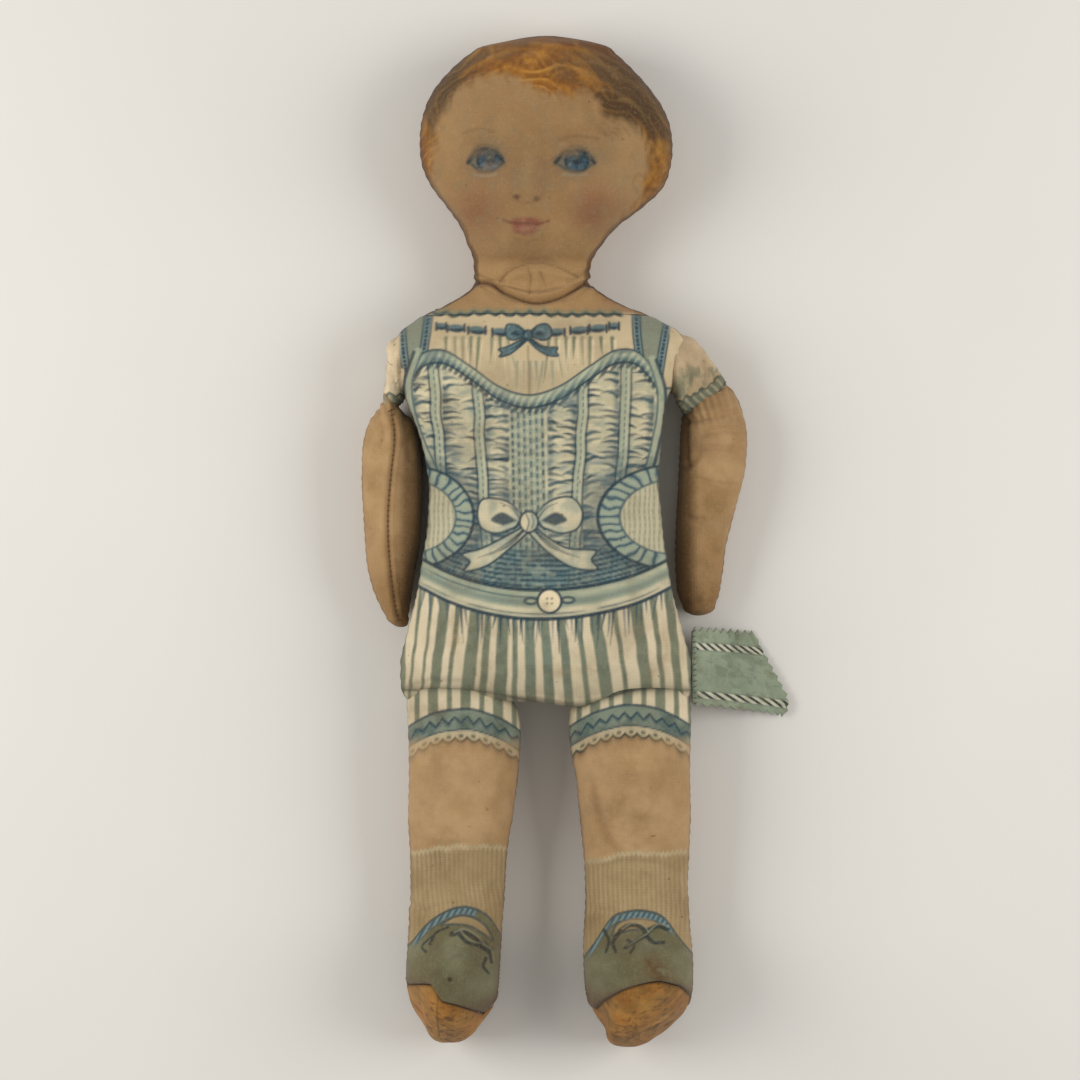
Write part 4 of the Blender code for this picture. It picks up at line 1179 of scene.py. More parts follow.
def strap_print(skin, dye):
    """Shoulder straps with stitched edges."""
    u, v = skin.u, skin.v
    for inner, outer in ((((429, 312), (426, 336), (423, 356)), ((401, 322), (403, 348), (407, 376))),
                         (((636, 312), (637, 336), (640, 360)), ((668, 322), (663, 348), (658, 378)))):
        outline = np.array([*inner, *outer[::-1]], float)
        inside = inside_near(u, v, outline)
        lay(dye, STRAP_GREEN, 0.97 * over(inside, 1.8))
        for line in (inner, outer):
            lay(dye, TEAL_SOFT, 0.9 * pen(u, v, line, 7.5, 1.8))
            lay(dye, TEAL_DARK, 0.9 * pen(u, v, line, 3.0, 1.4) * over(np.sin(v * 1.5) + 0.75, 0.7))
            lay(dye, TEAL_DARK, 0.8 * pen(u, v, [(a + 4, b) for a, b in line], 1.6, 1.2))
            lay(dye, TEAL_DARK, 0.8 * pen(u, v, [(a - 4, b) for a, b in line], 1.6, 1.2))


HIP_LINE = ((380, 400, 454, 506, 540, 569, 600, 632, 691, 720), (690, 689, 688, 694, 701, 706, 700, 692, 689, 690))


def torso_paint(skin):
    """The print of the torso, from the shoulders down to the crease of the hips, with painted shade in that crease."""
    u, v = skin.u, skin.v
    random = np.random.default_rng(29)
    dye = ground(skin, CREAM)
    shorts_print(skin, dye, False)
    shorts = over(v - curve(u, *WAIST_TOP) - 14, 2)
    stripes = dye.copy()
    shoulder_ground(skin, dye)
    chemise_print(skin, dye, random)
    strap_print(skin, dye)
    sleeve_side = over(400 - u, 3) + over(u - 670, 3)
    lay(dye, PINK_CREAM, sleeve_side * over(470 - v, 20))
    body = bodice_print(skin, dye, random)
    band_low = curve(u, *WAIST_TOP)
    deep = body * over(v - 544 - 6 * np.cos((u - 540) / 70), 9)
    lay(dye, "#5f7c7e", 0.75 * deep)
    lines = np.sin((v - band_low) * 1.25 + 1.4 * clump(u, v, 24, 131))
    lay(dye, TEAL_DARK, 0.7 * deep * over(lines - 0.1, 0.6))
    lay(dye, PALE_GREEN, 0.4 * deep * over(clump(u, v, 5, 134) - 0.45, 0.5))
    for place, size in (
        ((436, 352), (22, 13)), ((625, 348), (30, 12)), ((452, 470), (16, 40)), ((612, 478), (22, 34)),
        ((498, 540), (40, 26)), ((590, 545), (30, 22)), ((500, 405), (12, 16)), ((566, 400), (12, 16))
    ):
        lay(dye, "#4a6870", 0.55 * body * glow(u, v, place, size) * patchy(u, v * 2.2, 9, 137, 0.6, 0.25))
    side_panel(skin, dye, body, (414, 517), (60, 50))
    side_panel(skin, dye, body, (674, 517), (76, 52))
    ribbon_bow(skin, dye, (529, 520), 0.95, CREAM, TEAL_DARK)
    dye += (stripes - dye) * shorts[:, None]
    waist_print(skin, dye, random)
    shoulders = over(307 - v, 6)[:, None]
    dye += (inked(dye, 1.4) - dye) * (1 - shoulders)
    hip = curve(u, *HIP_LINE)
    # Painted shade in the crease of the hips: a dark line in the fold, and a softer band about it
    lay(dye, "#33382e", 0.85 * skin.front * np.exp(-np.abs(v - hip - 1) / 2.0))
    lay(dye, "#5e5c44", 0.45 * skin.front * np.exp(-np.abs(v - hip) / 8))
    for place, size in (((664, 645), (6, 26)), ((652, 668), (4, 18)), ((560, 672), (9, 6)), ((455, 640), (5, 16))):
        lay(dye, "#8a6a42", 0.38 * glow(u, v, place, size) * patchy(u, v, 9, 141, 0.7, 0.2))
    seam_line(skin, dye, "#3d463f", 0.0026, 0.8)
    rim_line(skin, dye, "#3b4741", 0.0009, 0.65)
    soil = 0.22 + 0.22 * patchy(u, v, 60, 151, 1.0)
    return dye, soil


def torso_folds(skin):
    """A full chest, and the drawn-in waist and hips of a stuffed cloth body."""
    u, v, on = skin.u, skin.v, skin.front
    move = seam_folds(skin, 0.0006, 0.0003, 0.0072, 15) + stuffing_lumps(skin, 0.0009, 0.036, 44)
    move += crease(skin, [(404, 690), (430, 682), (470, 684)], 0.0007, 3.0)
    move += crease(skin, [(420, 470), (432, 500), (428, 540)], 0.0006, 4.5)
    move += crease(skin, [(662, 470), (652, 505), (658, 545)], 0.0006, 4.5)
    move += crease(skin, [(424, 556), (470, 574), (520, 580)], 0.0005, 4.0)
    move += crease(skin, [(690, 350), (684, 380), (690, 410)], 0.0008, 3.5)
    move -= 0.0013 * np.clip((skin.y - NECK_EDGE - 0.0002) / 0.0015, 0, 1)
    move += on * 0.0006 * np.sin(
        (v - curve(u, *HIP_LINE)) * 0.16 + 1.0
    ) * np.exp(-np.abs(v - curve(u, *HIP_LINE)) / 26)
    return move


# Legs, socks, shoes and soles

LEFT_HEM = (631, 705, 20, 59)
RIGHT_HEM = (461, 709, 18, 53)


def hem_print(skin, dye, hem):
    """Trimmed leg hem: a coloured band with a zigzag braid, and scalloped lace."""
    u, v = skin.u, skin.v
    middle, height, drop, half = hem
    top = height + drop * np.clip(np.abs(u - middle) / half, 0, 1.12) ** 2 + 0.8 * clump(u, v * 0, 17, 161)
    skin_below = over(v - top - 26, 3)
    lay(dye, SKIN_PRINT, skin_below)
    strip = over(v - top, 1.6) * over(top + 21 - v, 1.6)
    lay(dye, HEM_TEAL, 0.96 * strip)
    lay(dye, PALE_GREEN, 0.4 * strip * patchy(u, v, 12, 165, 0.8))
    tooth = 2 * np.abs(((u - middle) / 12.5) % 1 - 0.5)
    braid = top + 7.5 + 6.5 * tooth + 0.8 * clump(u, v, 7, 167)
    lay(dye, TEAL, 0.55 * strip * band(v - braid - 2.2, 3.2, 2))
    lay(dye, TEAL_DARK, 0.92 * strip * band(v - braid, 2.5, 1.5))
    lay(dye, TEAL_DARK, 0.85 * band(v - top, 2.4, 1.5))
    lay(dye, TEAL_DARK, 0.8 * band(v - top - 21, 2.0, 1.5))
    bow = np.abs(np.sin(pi * (u - middle + 6) / 12.2))
    lace_low = top + 28.5 + 4.2 * bow
    lace = over(v - top - 21.5, 1.4) * over(lace_low - v, 1.6)
    lay(dye, "#b0a182", 0.97 * lace)
    lay(dye, "#9a9070", 0.35 * lace * over(bow - 0.8, 0.4))
    eyelet = band(v - top - 27.0, 3.0, 1.4) * over(bow - 0.86, 0.12)
    lay(dye, "#55604f", 0.8 * eyelet)
    lay(dye, "#37443c", 0.95 * band(v - lace_low, 3.0, 1.6))
    lay(dye, "#5f4c33", 0.5 * np.exp(-np.abs(v - lace_low - 3) / 3.0) * (v > lace_low))


def sock_print(skin, dye, top_line):
    """Ribbed sock, printed as fine ribs between a soft top edge and the shoe."""
    u, v = skin.u, skin.v
    top = curve(u, *top_line) + 1.2 * np.sin(u * 1.4) + 1.5 * clump(u, v * 0, 9, 171)
    on = over(v - top, 3.5)
    lay(dye, SOCK, 0.85 * on)
    ribs = np.sin((u + 3 * clump(u * 0.3, v, 40, 173)) * 1.32)
    fade = 0.55 + 0.45 * mottle(u, v, 24, 175)
    lay(dye, "#b3a07b", 0.55 * on * over(ribs, 1.0) * fade)
    lay(dye, "#80693f", 0.4 * on * over(-ribs, 1.0) * fade)
    rows = np.sin(v * 2.3)
    lay(dye, "#c0ad88", 0.22 * on * over(rows, 1.2) * fade)
    lay(dye, "#c6b48f", 0.6 * band(v - top - 2, 4, 3))
    lay(dye, "#8b744b", 0.4 * on * patchy(u, v, 20, 177, 0.6, -0.15))


def shoe_print(skin, dye, edge, strap, mouth, bow):
    """Strapped shoe with a small tie, outlined in dark ink."""
    u, v = skin.u, skin.v
    top = curve(u, *edge)
    body = over(v - top, 2.0)
    lay(dye, SHOE, 0.97 * body)
    lay(dye, "#7f7f62", 0.55 * body * patchy(u, v, 22, 181, 0.8, -0.1))
    lay(dye, "#565238", 0.45 * body * patchy(u, v, 30, 183, 0.7, -0.2))
    inside = inside_near(u, v, mouth)
    lay(dye, SOCK, 0.95 * over(inside, 2) * skin.front)
    lay(dye, "#8d7750", 0.4 * over(inside, 2) * over(v - top - 14, 5) * skin.front)
    lay(dye, SHOE_INK, 0.85 * band(inside, 2.4, 1.6) * skin.front)
    lay(dye, TEAL_SOFT, 0.85 * band(v - top - 4, 6.5, 2) * strap_reach(u, strap))
    hatch = np.sin((u * 0.9 + v * 0.5) * 1.25)
    lay(dye, TEAL_DARK, 0.8 * band(v - top - 4, 6.5, 2) * over(hatch, 0.6) * strap_reach(u, strap))
    lay(dye, SHOE_INK, 0.9 * band(v - top, 2.6, 1.6))
    lay(dye, SHOE_INK, 0.55 * band(v - top - 8.5, 1.6, 1.5) * strap_reach(u, strap))
    for line, width in bow:
        stroke(skin, dye, "#27302e", 0.88, line, width * 1.45, 1.6, 0.3)
    for line, width in bow[:3]:
        moved = [(a + 2.5, b - 2.2) for a, b in line]
        stroke(skin, dye, "#9a9a80", 0.45, moved, width * 0.6, 1.6, 0.4)
    return body


def strap_reach(u, reach):
    """1 between the two ends of a printed strap."""
    return over(u - reach[0], 5) * over(reach[1] - u, 5)


def leg_paint(skin):
    """The print of one leg: shorts, hem, skin, sock and shoe, with a painted shadow under the crease of the hips and
    painted shade along its sides.
    """
    left = skin.left
    u, v = skin.u, skin.v
    dye = ground(skin, CREAM)
    shorts_print(skin, dye, True)
    hip = curve(u, *HIP_LINE)
    # Painted shadow on the top of the leg, under the edge of the torso at the crease of the hips
    lay(dye, "#33382e", 0.85 * skin.front * np.exp(-np.clip(v - hip + 1, 0, 99) / 3.4))
    hem_print(skin, dye, LEFT_HEM if left else RIGHT_HEM)
    hem = over(775 - v, 10)[:, None]
    dye += (inked(dye, 1.35) - dye) * hem
    legs = over(v - 765, 6)
    lay(dye, SKIN_PRINT, legs)
    lay(dye, "#bd9b70", 0.5 * over(v - 740, 10) * patchy(u, v, 34, 191 + left, 0.8))
    lay(dye, "#987548", 0.4 * over(v - 740, 10) * patchy(u, v, 26, 197 + left, 0.6, -0.1))
    if left:
        lay(dye, "#8a673e", 0.45 * pen(u, v, [(594, 790), (598, 812), (606, 836), (622, 856)], 7, 8))
        sock_print(skin, dye, ((570, 600, 632, 662, 700), (862, 858, 851, 853, 848)))
        edge = ((560, 583, 594, 604, 613, 626, 645, 664, 680, 700), (972, 958, 944, 928, 917, 912, 911, 918, 938, 962))
        mouth = ((612, 936), (617, 924), (632, 917), (648, 917), (660, 925), (650, 928), (630, 930))
        bow = (
            (((620, 931), (630, 925), (641, 927), (646, 934)), 3.6), (((646, 934), (656, 926), (667, 929)), 3.6),
            (((644, 936), (634, 942), (625, 948)), 3.2), (((618, 934), (613, 943), (616, 952)), 3.0),
            (((646, 936), (654, 942), (664, 942)), 3.0), (((604, 930), (609, 941), (606, 952)), 2.4),
            (((628, 940), (634, 946), (630, 953)), 2.4),
        )
        shoe_print(skin, dye, edge, (590, 672), mouth, bow)
        for place, size in (((655, 970), (11, 8)), ((660, 978), (8, 4)), ((648, 962), (4, 5))):
            lay(dye, "#5c4022", 0.8 * glow(u, v, place, size) * patchy(u, v, 5, 211, 0.5, 0.3))
    else:
        sock_print(skin, dye, ((400, 430, 462, 495, 520), (855, 848, 845, 846, 852)))
        edge = ((396, 411, 424, 438, 452, 467, 480, 492, 501, 516), (956, 942, 927, 916, 909, 907, 911, 920, 934, 956))
        mouth = ((440, 925), (456, 916), (472, 917), (486, 926), (493, 940), (484, 934), (470, 926), (454, 924))
        bow = (
            (((452, 934), (462, 931), (474, 937), (482, 946)), 3.8), (((458, 932), (466, 941), (478, 945)), 3.0),
            (((482, 946), (490, 952), (492, 962)), 3.4), (((478, 940), (486, 944), (493, 950)), 2.8),
            (((430, 944), (436, 933), (448, 927)), 2.2), (((426, 952), (422, 946), (432, 936)), 1.8),
            (((486, 958), (483, 966), (488, 973)), 2.6),
        )
        shoe_print(skin, dye, edge, (414, 476), mouth, bow)
        lay(dye, "#2e2414", 0.9 * spot(u, v, (450, 979), (2.4, 2.4), 0, 1.5))
        stroke(skin, dye, SHOE_INK, 0.25, [(440, 972), (455, 956), (472, 958), (482, 972)], 2, 3)
    # Darker towards the side seams: painted shade where the leg turns away, with soil at the seams
    lay(dye, "#7a5833", 0.32 * np.exp(-skin.edge / 0.01) * over(v - 740, 10))
    seam_line(skin, dye, "#5a4024", 0.0024, 0.75)
    rim_line(skin, dye, "#57402a", 0.0008, 0.55)
    lay(dye, "#3b2a18", 0.8 * bell(from_rim(skin, -1) / 0.0009))
    soil = 0.25 + 0.2 * patchy(u, v, 50, 221, 1.0)
    return dye, soil


def leg_folds(skin):
    """A slack stuffed leg with pull folds at the hip and the ankle."""
    left = skin.left
    move = seam_folds(skin, 0.0006, 0.0003, 0.007, 25 + left) + stuffing_lumps(skin, 0.0009, 0.03, 64 + left)
    if left:
        lines = (
            ((588, 775), (596, 810), (606, 838)), ((600, 868), (630, 862), (664, 866)),
            ((640, 870), (650, 885), (644, 898)), ((590, 905), (604, 912), (612, 908)),
            ((672, 886), (680, 902), (686, 914))
        )
    else:
        lines = (
            ((505, 770), (500, 800), (506, 830)), ((414, 838), (440, 846), (470, 843)),
            ((410, 900), (424, 912), (440, 906)), ((498, 880), (490, 896), (494, 912))
        )
    move += creases(skin, lines, 0.0007, 3.6)
    rim = from_rim(skin, -1)
    return move + 0.0006 * bell((rim - 0.004) / 0.003) - 0.0007 * bell(rim / 0.0013)


SOLE_EDGE_LEFT = (
    (560, 586, 595, 606, 622, 640, 660, 680, 692, 700, 720),
    (1030, 1020, 1010, 1000, 991, 985, 982, 987, 997, 1008, 1020)
)
SOLE_EDGE_RIGHT = ((380, 411, 425, 435, 439, 452, 483, 500, 520), (987, 985, 985, 986, 1002, 1005, 1014, 1020, 1026))


def from_rim(skin, section):
    """Distance of each place from the first or the last section, where the sole is sewn in."""
    return np.linalg.norm(skin.grid - skin.grid[section], axis=2).ravel()


def sole_paint(skin):
    """Tan cloth, stained and worn where the foot is round."""
    left = skin.left
    u, v = skin.u, skin.v
    down = v - (skin.z - 0.04) / SQUARE
    dye = ground(skin, SOLE_TAN)
    lay(dye, SOLE_ORANGE, 0.65 * patchy(u, down, 17, 233, 0.7, -0.05))
    lay(dye, "#b08a52", 0.5 * patchy(u, down, 11, 239, 0.7, -0.1))
    lay(dye, "#6e4f2a", 0.5 * over(mottle(u, down, 12, 235) - (0.05 if left else 0.25), 0.5))
    random = np.random.default_rng(7 + left)
    middle = (640, 1016) if left else (450, 1014)
    for _ in range(220 if left else 130):
        place = (middle[0] + random.normal(0, 26 if left else 18), middle[1] + random.normal(10, 34))
        size = 0.7 + 1.5 * random.random()
        stretch = size * (1 + 1.8 * random.random())
        lay(dye, STAIN,
            (0.2 + 0.4 * random.random()) * spot(u, down, place, (stretch, size), random.random() * 3, 2.0))
    lay(dye, STAIN, 0.5 * over(clump(u, down, 3.2, 241) * patchy(u, down, 12, 243, 0.5) - 0.55, 0.3))
    if not left:
        lay(dye, "#4f3820", 0.7 * pen(u, v, [(437, 984), (438, 996), (437, 1012), (439, 1036)], 1.8, 1.6) * skin.front)
        lay(dye, SOLE_ORANGE, 0.5 * glow(u, v, (447, 1008), (9, 8)))
    rim = from_rim(skin, 0)
    lay(dye, "#3b2a18", 0.85 * bell(rim / 0.001))
    lay(dye, "#5b4020", 0.4 * np.exp(-rim / 0.004))
    dye *= np.array((1.14, 1.04, 0.76))
    return dye, np.full(len(u), 0.4)


def sole_folds(skin):
    """A sole sewn in and puffed out by its stuffing."""
    rim = from_rim(skin, 0)
    move = 0.0008 * mottle(skin.x, skin.z - skin.y, 0.012, 231) * np.clip(rim / 0.006, 0, 1)
    return move + 0.0007 * (1 - np.exp(-rim / 0.0022)) - 0.0006


# Sleeves and arms

def sleeve_paint(skin):
    """Cream sleeve with a scalloped trim along its hem."""
    left = skin.left
    hem = (
        (672, 684, 700, 714, 727, 740), (424, 415, 408, 398, 383, 372)
    ) if left else ((372, 383, 392, 402, 412, 424), (398, 404, 406, 407, 404, 400))
    u, v = skin.u, skin.v
    dye = ground(skin, "#c3ab88" if left else "#e8d2ae")
    lay(dye, "#a99873", (0.45 if left else 0.3) * patchy(u, v, 24, 241 + left, 0.8))
    low = curve(u, *hem)
    blots = patchy(u * 1.3, v * 0.8, 9, 243 + left, 0.4, -0.12)
    reach = 46 if left else 26
    lay(dye, "#6f7862", (0.7 if left else 0.28) * blots * over(v - low + reach, 16))
    depth = 15 if left else 10
    bite = 3.0 * np.abs(np.sin(pi * (u - v * 0.4) / 9.5))
    trim = over(v - low + depth + bite, 2.0)
    lay(dye, "#5c6a5c", 0.85 * trim)
    lay(dye, "#b4a684", 0.6 * trim * over(np.sin((u - v) * 0.62) - 0.3, 0.7))
    lay(dye, "#34443f", 0.85 * band(v - low + depth + bite, 2.2, 1.6))
    lay(dye, "#3c4c47",
        0.75 * over(v - low + 3.5, 2.0) * over(low + 3 - v, 2.0) * over(np.sin((u - v * 0.7) * 0.9) + 0.4, 0.7))
    lay(dye, "#5a4630", 0.35 * band(u - (672 if left else 408), 7, 6))
    seam_line(skin, dye, SEAM_SOIL_AND_FOLD_SHADE, 0.002, 0.7)
    return dye, np.full(len(u), 0.4)


def sleeve_folds(skin):
    """Soft folds of a sleeve, deeper where it is crumpled."""
    left = skin.left
    u, v = skin.u, skin.v
    move = seam_folds(skin, 0.0005, 0.0004, 0.0055, 35)
    height = 0.0007 if left else 0.0013
    move += height * mottle(u * (0.7 if left else 1.3), v * (1.2 if left else 0.5), 13, 251 + left)
    if left:
        lines = (
            ((676, 350), (690, 372), (686, 400)), ((700, 352), (704, 376), (698, 398)),
            ((716, 368), (712, 384), (704, 394))
        )
    else:
        lines = (
            ((396, 342), (391, 365), (398, 392)), ((404, 350), (400, 376), (404, 398)),
            ((388, 352), (386, 376), (388, 398)), ((410, 340), (408, 362), (412, 384))
        )
    return move + creases(skin, lines, 0.0009 if left else 0.0012, 2.4)


ARM_RIGHT_STITCHES = (
    (391, 410), (394, 426), (394.5, 444), (392, 466), (389.5, 492), (388, 518), (388.5, 545), (391, 574), (395, 604),
    (399, 620)
)
ARM_LEFT_SEAM_LINE = ((688, 418), (687, 440), (689, 467))


def arm_paint(skin):
    """Plain skin-coloured cloth, soiled along its seams and at the hand, with painted shade under the sleeve hem,
    along its sides and on its inner side by the torso.
    """
    left = skin.left
    u, v = skin.u, skin.v
    dye = ground(skin, "#aa885f" if left else "#b39064")
    lay(dye, "#bf9c70", 0.5 * patchy(u, v, 30, 261 + left, 0.9))
    lay(dye, "#92703f", 0.45 * patchy(u, v, 22, 265 + left, 0.7, -0.1))
    lay(dye, "#86643a", 0.55 * over(v - 560, 70))
    line = ARM_LEFT_SEAM_LINE if left else ARM_RIGHT_STITCHES
    stroke(skin, dye, "#4b3320", 0.8, line, 1.7, 1.6)
    stroke(skin, dye, "#7a5a36", 0.45, line, 7, 7)
    # Painted shade where the arm goes in under the hem of its sleeve
    lay(dye, "#5b4126", 0.6 * skin.front * np.exp(-skin.along / 0.006))
    for place in (((400, 612), (395, 596), (404, 600)) if not left else ((690, 604), (700, 600))):
        lay(dye, "#4d3820", 0.5 * glow(u, v, place, (3.5, 5)))
    # Darker towards the side seams: painted shade where the arm turns away, with soil at the seams
    lay(dye, "#7a5833", 0.42 * np.exp(-skin.edge / 0.009))
    # Painted shade along the inner side, where the arm lies against the torso
    lay(dye, "#5f4427", 0.75 * skin.front * (over(694 - u, 10) if left else over(u - 399, 14)))
    seam_line(skin, dye, "#4f3820", 0.0024, 0.75)
    rim_line(skin, dye, "#57402a", 0.0008, 0.6)
    return dye, np.full(len(u), 0.4) + 0.3 * over(v - 560, 60)


def arm_folds(skin):
    """A stuffed arm, gathered in at the hem of its sleeve."""
    left = skin.left
    u, v = skin.u, skin.v
    move = seam_folds(skin, 0.0006, 0.00025, 0.006, 45 + left) + stuffing_lumps(skin, 0.0007, 0.026, 84 + left)
    if left:
        lines = (
            ((682, 424), (704, 418), (734, 412)), ((690, 450), (712, 447), (744, 450)),
            ((700, 434), (720, 430), (746, 432)),
            ((684, 470), (694, 462), (700, 450)), ((694, 478), (716, 484), (740, 486)),
            ((686, 515), (696, 520), (706, 519)),
        )
        move += crease(skin, ARM_LEFT_SEAM_LINE, 0.001, 2.0)
    else:
        lines = (
            ((378, 416), (384, 432), (380, 450)), ((402, 414), (406, 432), (402, 448)),
            ((412, 430), (408, 446), (410, 462))
        )
        move += crease(skin, ARM_RIGHT_STITCHES, 0.001, 2.0, 0.8)
    move += creases(skin, lines, 0.001, 2.8)
    drawn = np.exp(-np.clip(v - (416 if left else 404), 0, 99) / 9.0)
    move += skin.front * drawn * (0.0004 if left else 0.0008) * np.sin((u - v * 0.3) * 0.85)
    return move


# Sewing thread. A stitch stands out of the cloth in its middle and sinks into
# it at its ends, by so many times the thread's radius.
THREAD_SIDES = 6
STITCH_RISE = 2.6
STITCH_SUNK = 0.9


def on_skin(name, points):
    """Places and outward directions on the front of a skin, under a drawn line."""
    u, v, front, places, ways = SKINS[name]
    found = [int(np.where(front, (u - pu) ** 2 + (v - pv) ** 2, 1e9).argmin()) for pu, pv in points]
    return places[found], ways[found]


def unit(ways):
    """The same directions, each made 1 long."""
    return ways / (np.linalg.norm(ways, axis=-1, keepdims=True) + 1e-12)


def even_path(path, ways, pitch):
    """A path cut to an even pitch, with a direction out of the cloth at each place."""
    along = distance_along(path)
    wanted = np.linspace(0, along[-1], max(int(along[-1] / pitch), 2))
    places, outs = (np.stack([np.interp(wanted, along, k) for k in whole.T], axis=1) for whole in (path, ways))
    return places, unit(outs)


def thread_tube(line, radius, points, faces):
    """Add one length of thread to a mesh's lists."""
    line = np.asarray(line, float)
    first = len(points)
    last = first + (len(line) - 1) * THREAD_SIDES
    ahead = unit(np.gradient(line, axis=0))
    side = unit(np.cross(ahead, [0.31, 0.17, 0.93]))
    up = np.cross(ahead, side)
    for i in range(len(line)):
        for k in range(THREAD_SIDES):
            angle = 2 * pi * k / THREAD_SIDES
            points.append(tuple(line[i] + radius * (side[i] * cos(angle) + up[i] * sin(angle))))
    for start in range(first, last, THREAD_SIDES):
        for k in range(THREAD_SIDES):
            a, b = start + k, start + (k + 1) % THREAD_SIDES
            faces.append((a, b, b + THREAD_SIDES, a + THREAD_SIDES))
    faces.append(tuple(range(first, first + THREAD_SIDES))[::-1])
    faces.append(tuple(range(last, last + THREAD_SIDES)))


def threads(name, lines, radius):
    """One piece made of lengths of thread."""
    points, faces = [], []
    for line in lines:
        thread_tube(line, radius, points, faces)
    return put_piece(name, points, faces)


def stitches(name, path, ways, pitch, span, radius, slant, seed):
    """A row of short stitches across a seam, each with its ends sunk in the cloth."""
    random = np.random.default_rng(seed)
    places, outs = even_path(path, ways, pitch)
    lines = []
    for place, out, way in zip(places, outs, unit(np.gradient(places, axis=0))):
        reach = np.cross(way, out) + way * (slant + random.normal(0, 0.12))
        reach = reach / np.linalg.norm(reach) * span * (0.85 + 0.3 * random.random())
        lines.append([
            place + reach * t + out * radius * (STITCH_RISE * (1 - (2 * t) ** 2) - STITCH_SUNK)
            for t in np.linspace(-0.5, 0.5, 7)
        ])
    return threads(name, lines, radius)


# Cloth label: its seam, how far it reaches out and how far it hangs down. Its
# print is drawn in squares of the sheet, from its own top corner.
LABEL_LENGTH = 0.0435
LABEL_REACH = 0.064
LABEL_DROP = 0.0325
LABEL_TOP = -0.0538
LABEL_EDGE = 0.0882
LABEL_HEIGHT = 0.034
LABEL_SQUARES = (106, 72)
LABEL_CLOTH = 0.0006
LABEL_CORDS = (14.0, 62.0)
CORD_WIDTH = 7.0


def teeth(share, count):
    """The zigzag of pinking shears along an edge, from 0 to 1."""
    return 2 * np.abs((share * count) % 1 - 0.5)


def label_piece(name):
    """A pinked cloth label, sewn along one edge and drooping to the ground."""
    outs, downs = ((150, 104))
    a, b = (share.ravel() for share in np.meshgrid(np.linspace(0, 1, outs), np.linspace(0, 1, downs), indexing="ij"))
    out = a * (1 - 0.034 * teeth(b, 9) * np.clip((a - 0.9) / 0.1, 0, 1))
    down = b - 0.08 * (1 - teeth(a, 9)) * np.clip(1 - b / 0.12, 0, 1)
    down += 0.05 * (0.5 - teeth(a, 11)) * np.clip((b - 0.9) / 0.1, 0, 1)
    wave = 0.0016 * np.sin(2 * pi * (a * 1.3 + b * 0.4)) * np.sin(pi * a) + 0.0026 * np.sin(pi * b) * a**2
    wave += 0.0009 * mottle(a * 64 + b * 20, b * 44, 17, 311) * np.clip(a * 4, 0, 1)
    curl = 0.003 * bell((1 - a) / 0.16) * bell((1 - b) / 0.25)
    fall = LABEL_DROP * (1 - (1 - out) ** 2)
    reach = LABEL_REACH * np.sqrt(np.maximum(0, out**2 - (LABEL_DROP / LABEL_REACH * out) ** 2))
    corner = 1 - 0.13 * np.clip((b - 0.72) / 0.28, 0, 1) ** 2 * a**4
    x = LABEL_EDGE + reach * (0.74 + 0.48 * b) * corner
    y = LABEL_TOP - down * LABEL_LENGTH - LABEL_LENGTH * 0.14 * out * b - reach * (0.05 * b + 0.06 * (1 - b))
    z = np.maximum(LABEL_HEIGHT - fall + wave + curl, 0.0008)
    points = np.stack([x, y, z], axis=1)
    faces = [
        (start, start + 1, start + downs + 1, start + downs)
        for i in range(outs - 1) for start in range(i * downs, i * downs + downs - 1)
    ]
    label = put_piece(name, points.tolist(), faces)
    put_print(label.data, label_print(a, b), np.full(len(a), 0.35))
    wall = label.modifiers.new("cloth", "SOLIDIFY")
    wall.thickness = LABEL_CLOTH
    wall.offset = 0
    return label, points.reshape(outs, downs, 3)


def label_print(a, b):
    """Faded green cloth with two twisted cords, and painted shade along its sewn edge."""
    u, v = a * LABEL_SQUARES[0], b * LABEL_SQUARES[1]
    dye = np.tile(np.array(linear("#8a967f")), (len(a), 1))
    lay(dye, "#9aa28a", 0.6 * patchy(u, v, 26, 301, 0.8))
    lay(dye, "#7a8874", 0.4 * patchy(u, v, 12, 305, 0.7, -0.1))
    sewn_free = over(a - 0.05, 0.02)
    for line in LABEL_CORDS:
        cord = band(v - line, CORD_WIDTH, 1.4) * sewn_free
        twist = np.sin((u * 0.5 - (v - line) * 0.85))
        lay(dye, "#cfcab2", 0.9 * cord)
        lay(dye, "#1d2b30", 0.95 * cord * over(twist - 0.1, 0.3))
        lay(dye, "#4d5f58", 0.5 * band(np.abs(v - line) - 4.0, 1.0, 1.0))
    # Painted shade along the sewn edge, where the label goes in under the hip
    lay(dye, "#3f4636", 0.8 * np.exp(-a / 0.035) * patchy(u, v, 6, 313, 0.5, 0.5))
    lay(dye, "#5c6350", 0.35 * patchy(u * 0.6, v * 1.4, 8, 315, 0.3, -0.3))
    lay(dye, "#6e6a4c", 0.35 * patchy(u, v, 9, 309, 0.4, -0.35))
    return dye


# Materials. In a colour mix, sockets 0, 6 and 7 are how much is laid over the
# other, the colour below and the colour laid.
SHARE, BELOW, LAID = 0, 6, 7


def fill(tree, target, inputs):
    """Set or link the inputs of a node."""
    for key, value in dict(inputs).items():
        if isinstance(value, bpy.types.NodeSocket):
            tree.links.new(value, target.inputs[key])
        else:
            target.inputs[key].default_value = value


def node(tree, kind, inputs=(), **settings):
    """Add a node with its settings, and fill or link its inputs."""
    new = tree.nodes.new("ShaderNode" + kind)
    for key, value in settings.items():
        setattr(new, key, value)
    fill(tree, new, inputs)
    return new


def new_material(name):
    """A material, its tree, its shader, and the place on the piece that its patterns follow."""
    material = bpy.data.materials.new(name)
    material.use_nodes = True
    tree = material.node_tree
    return material, tree, tree.nodes["Principled BSDF"], node(tree, "TexCoord").outputs["Object"]


def paint_of(code, dim=1.0):
    """A colour for a socket."""
    return (*(part * dim for part in linear(code)), 1)


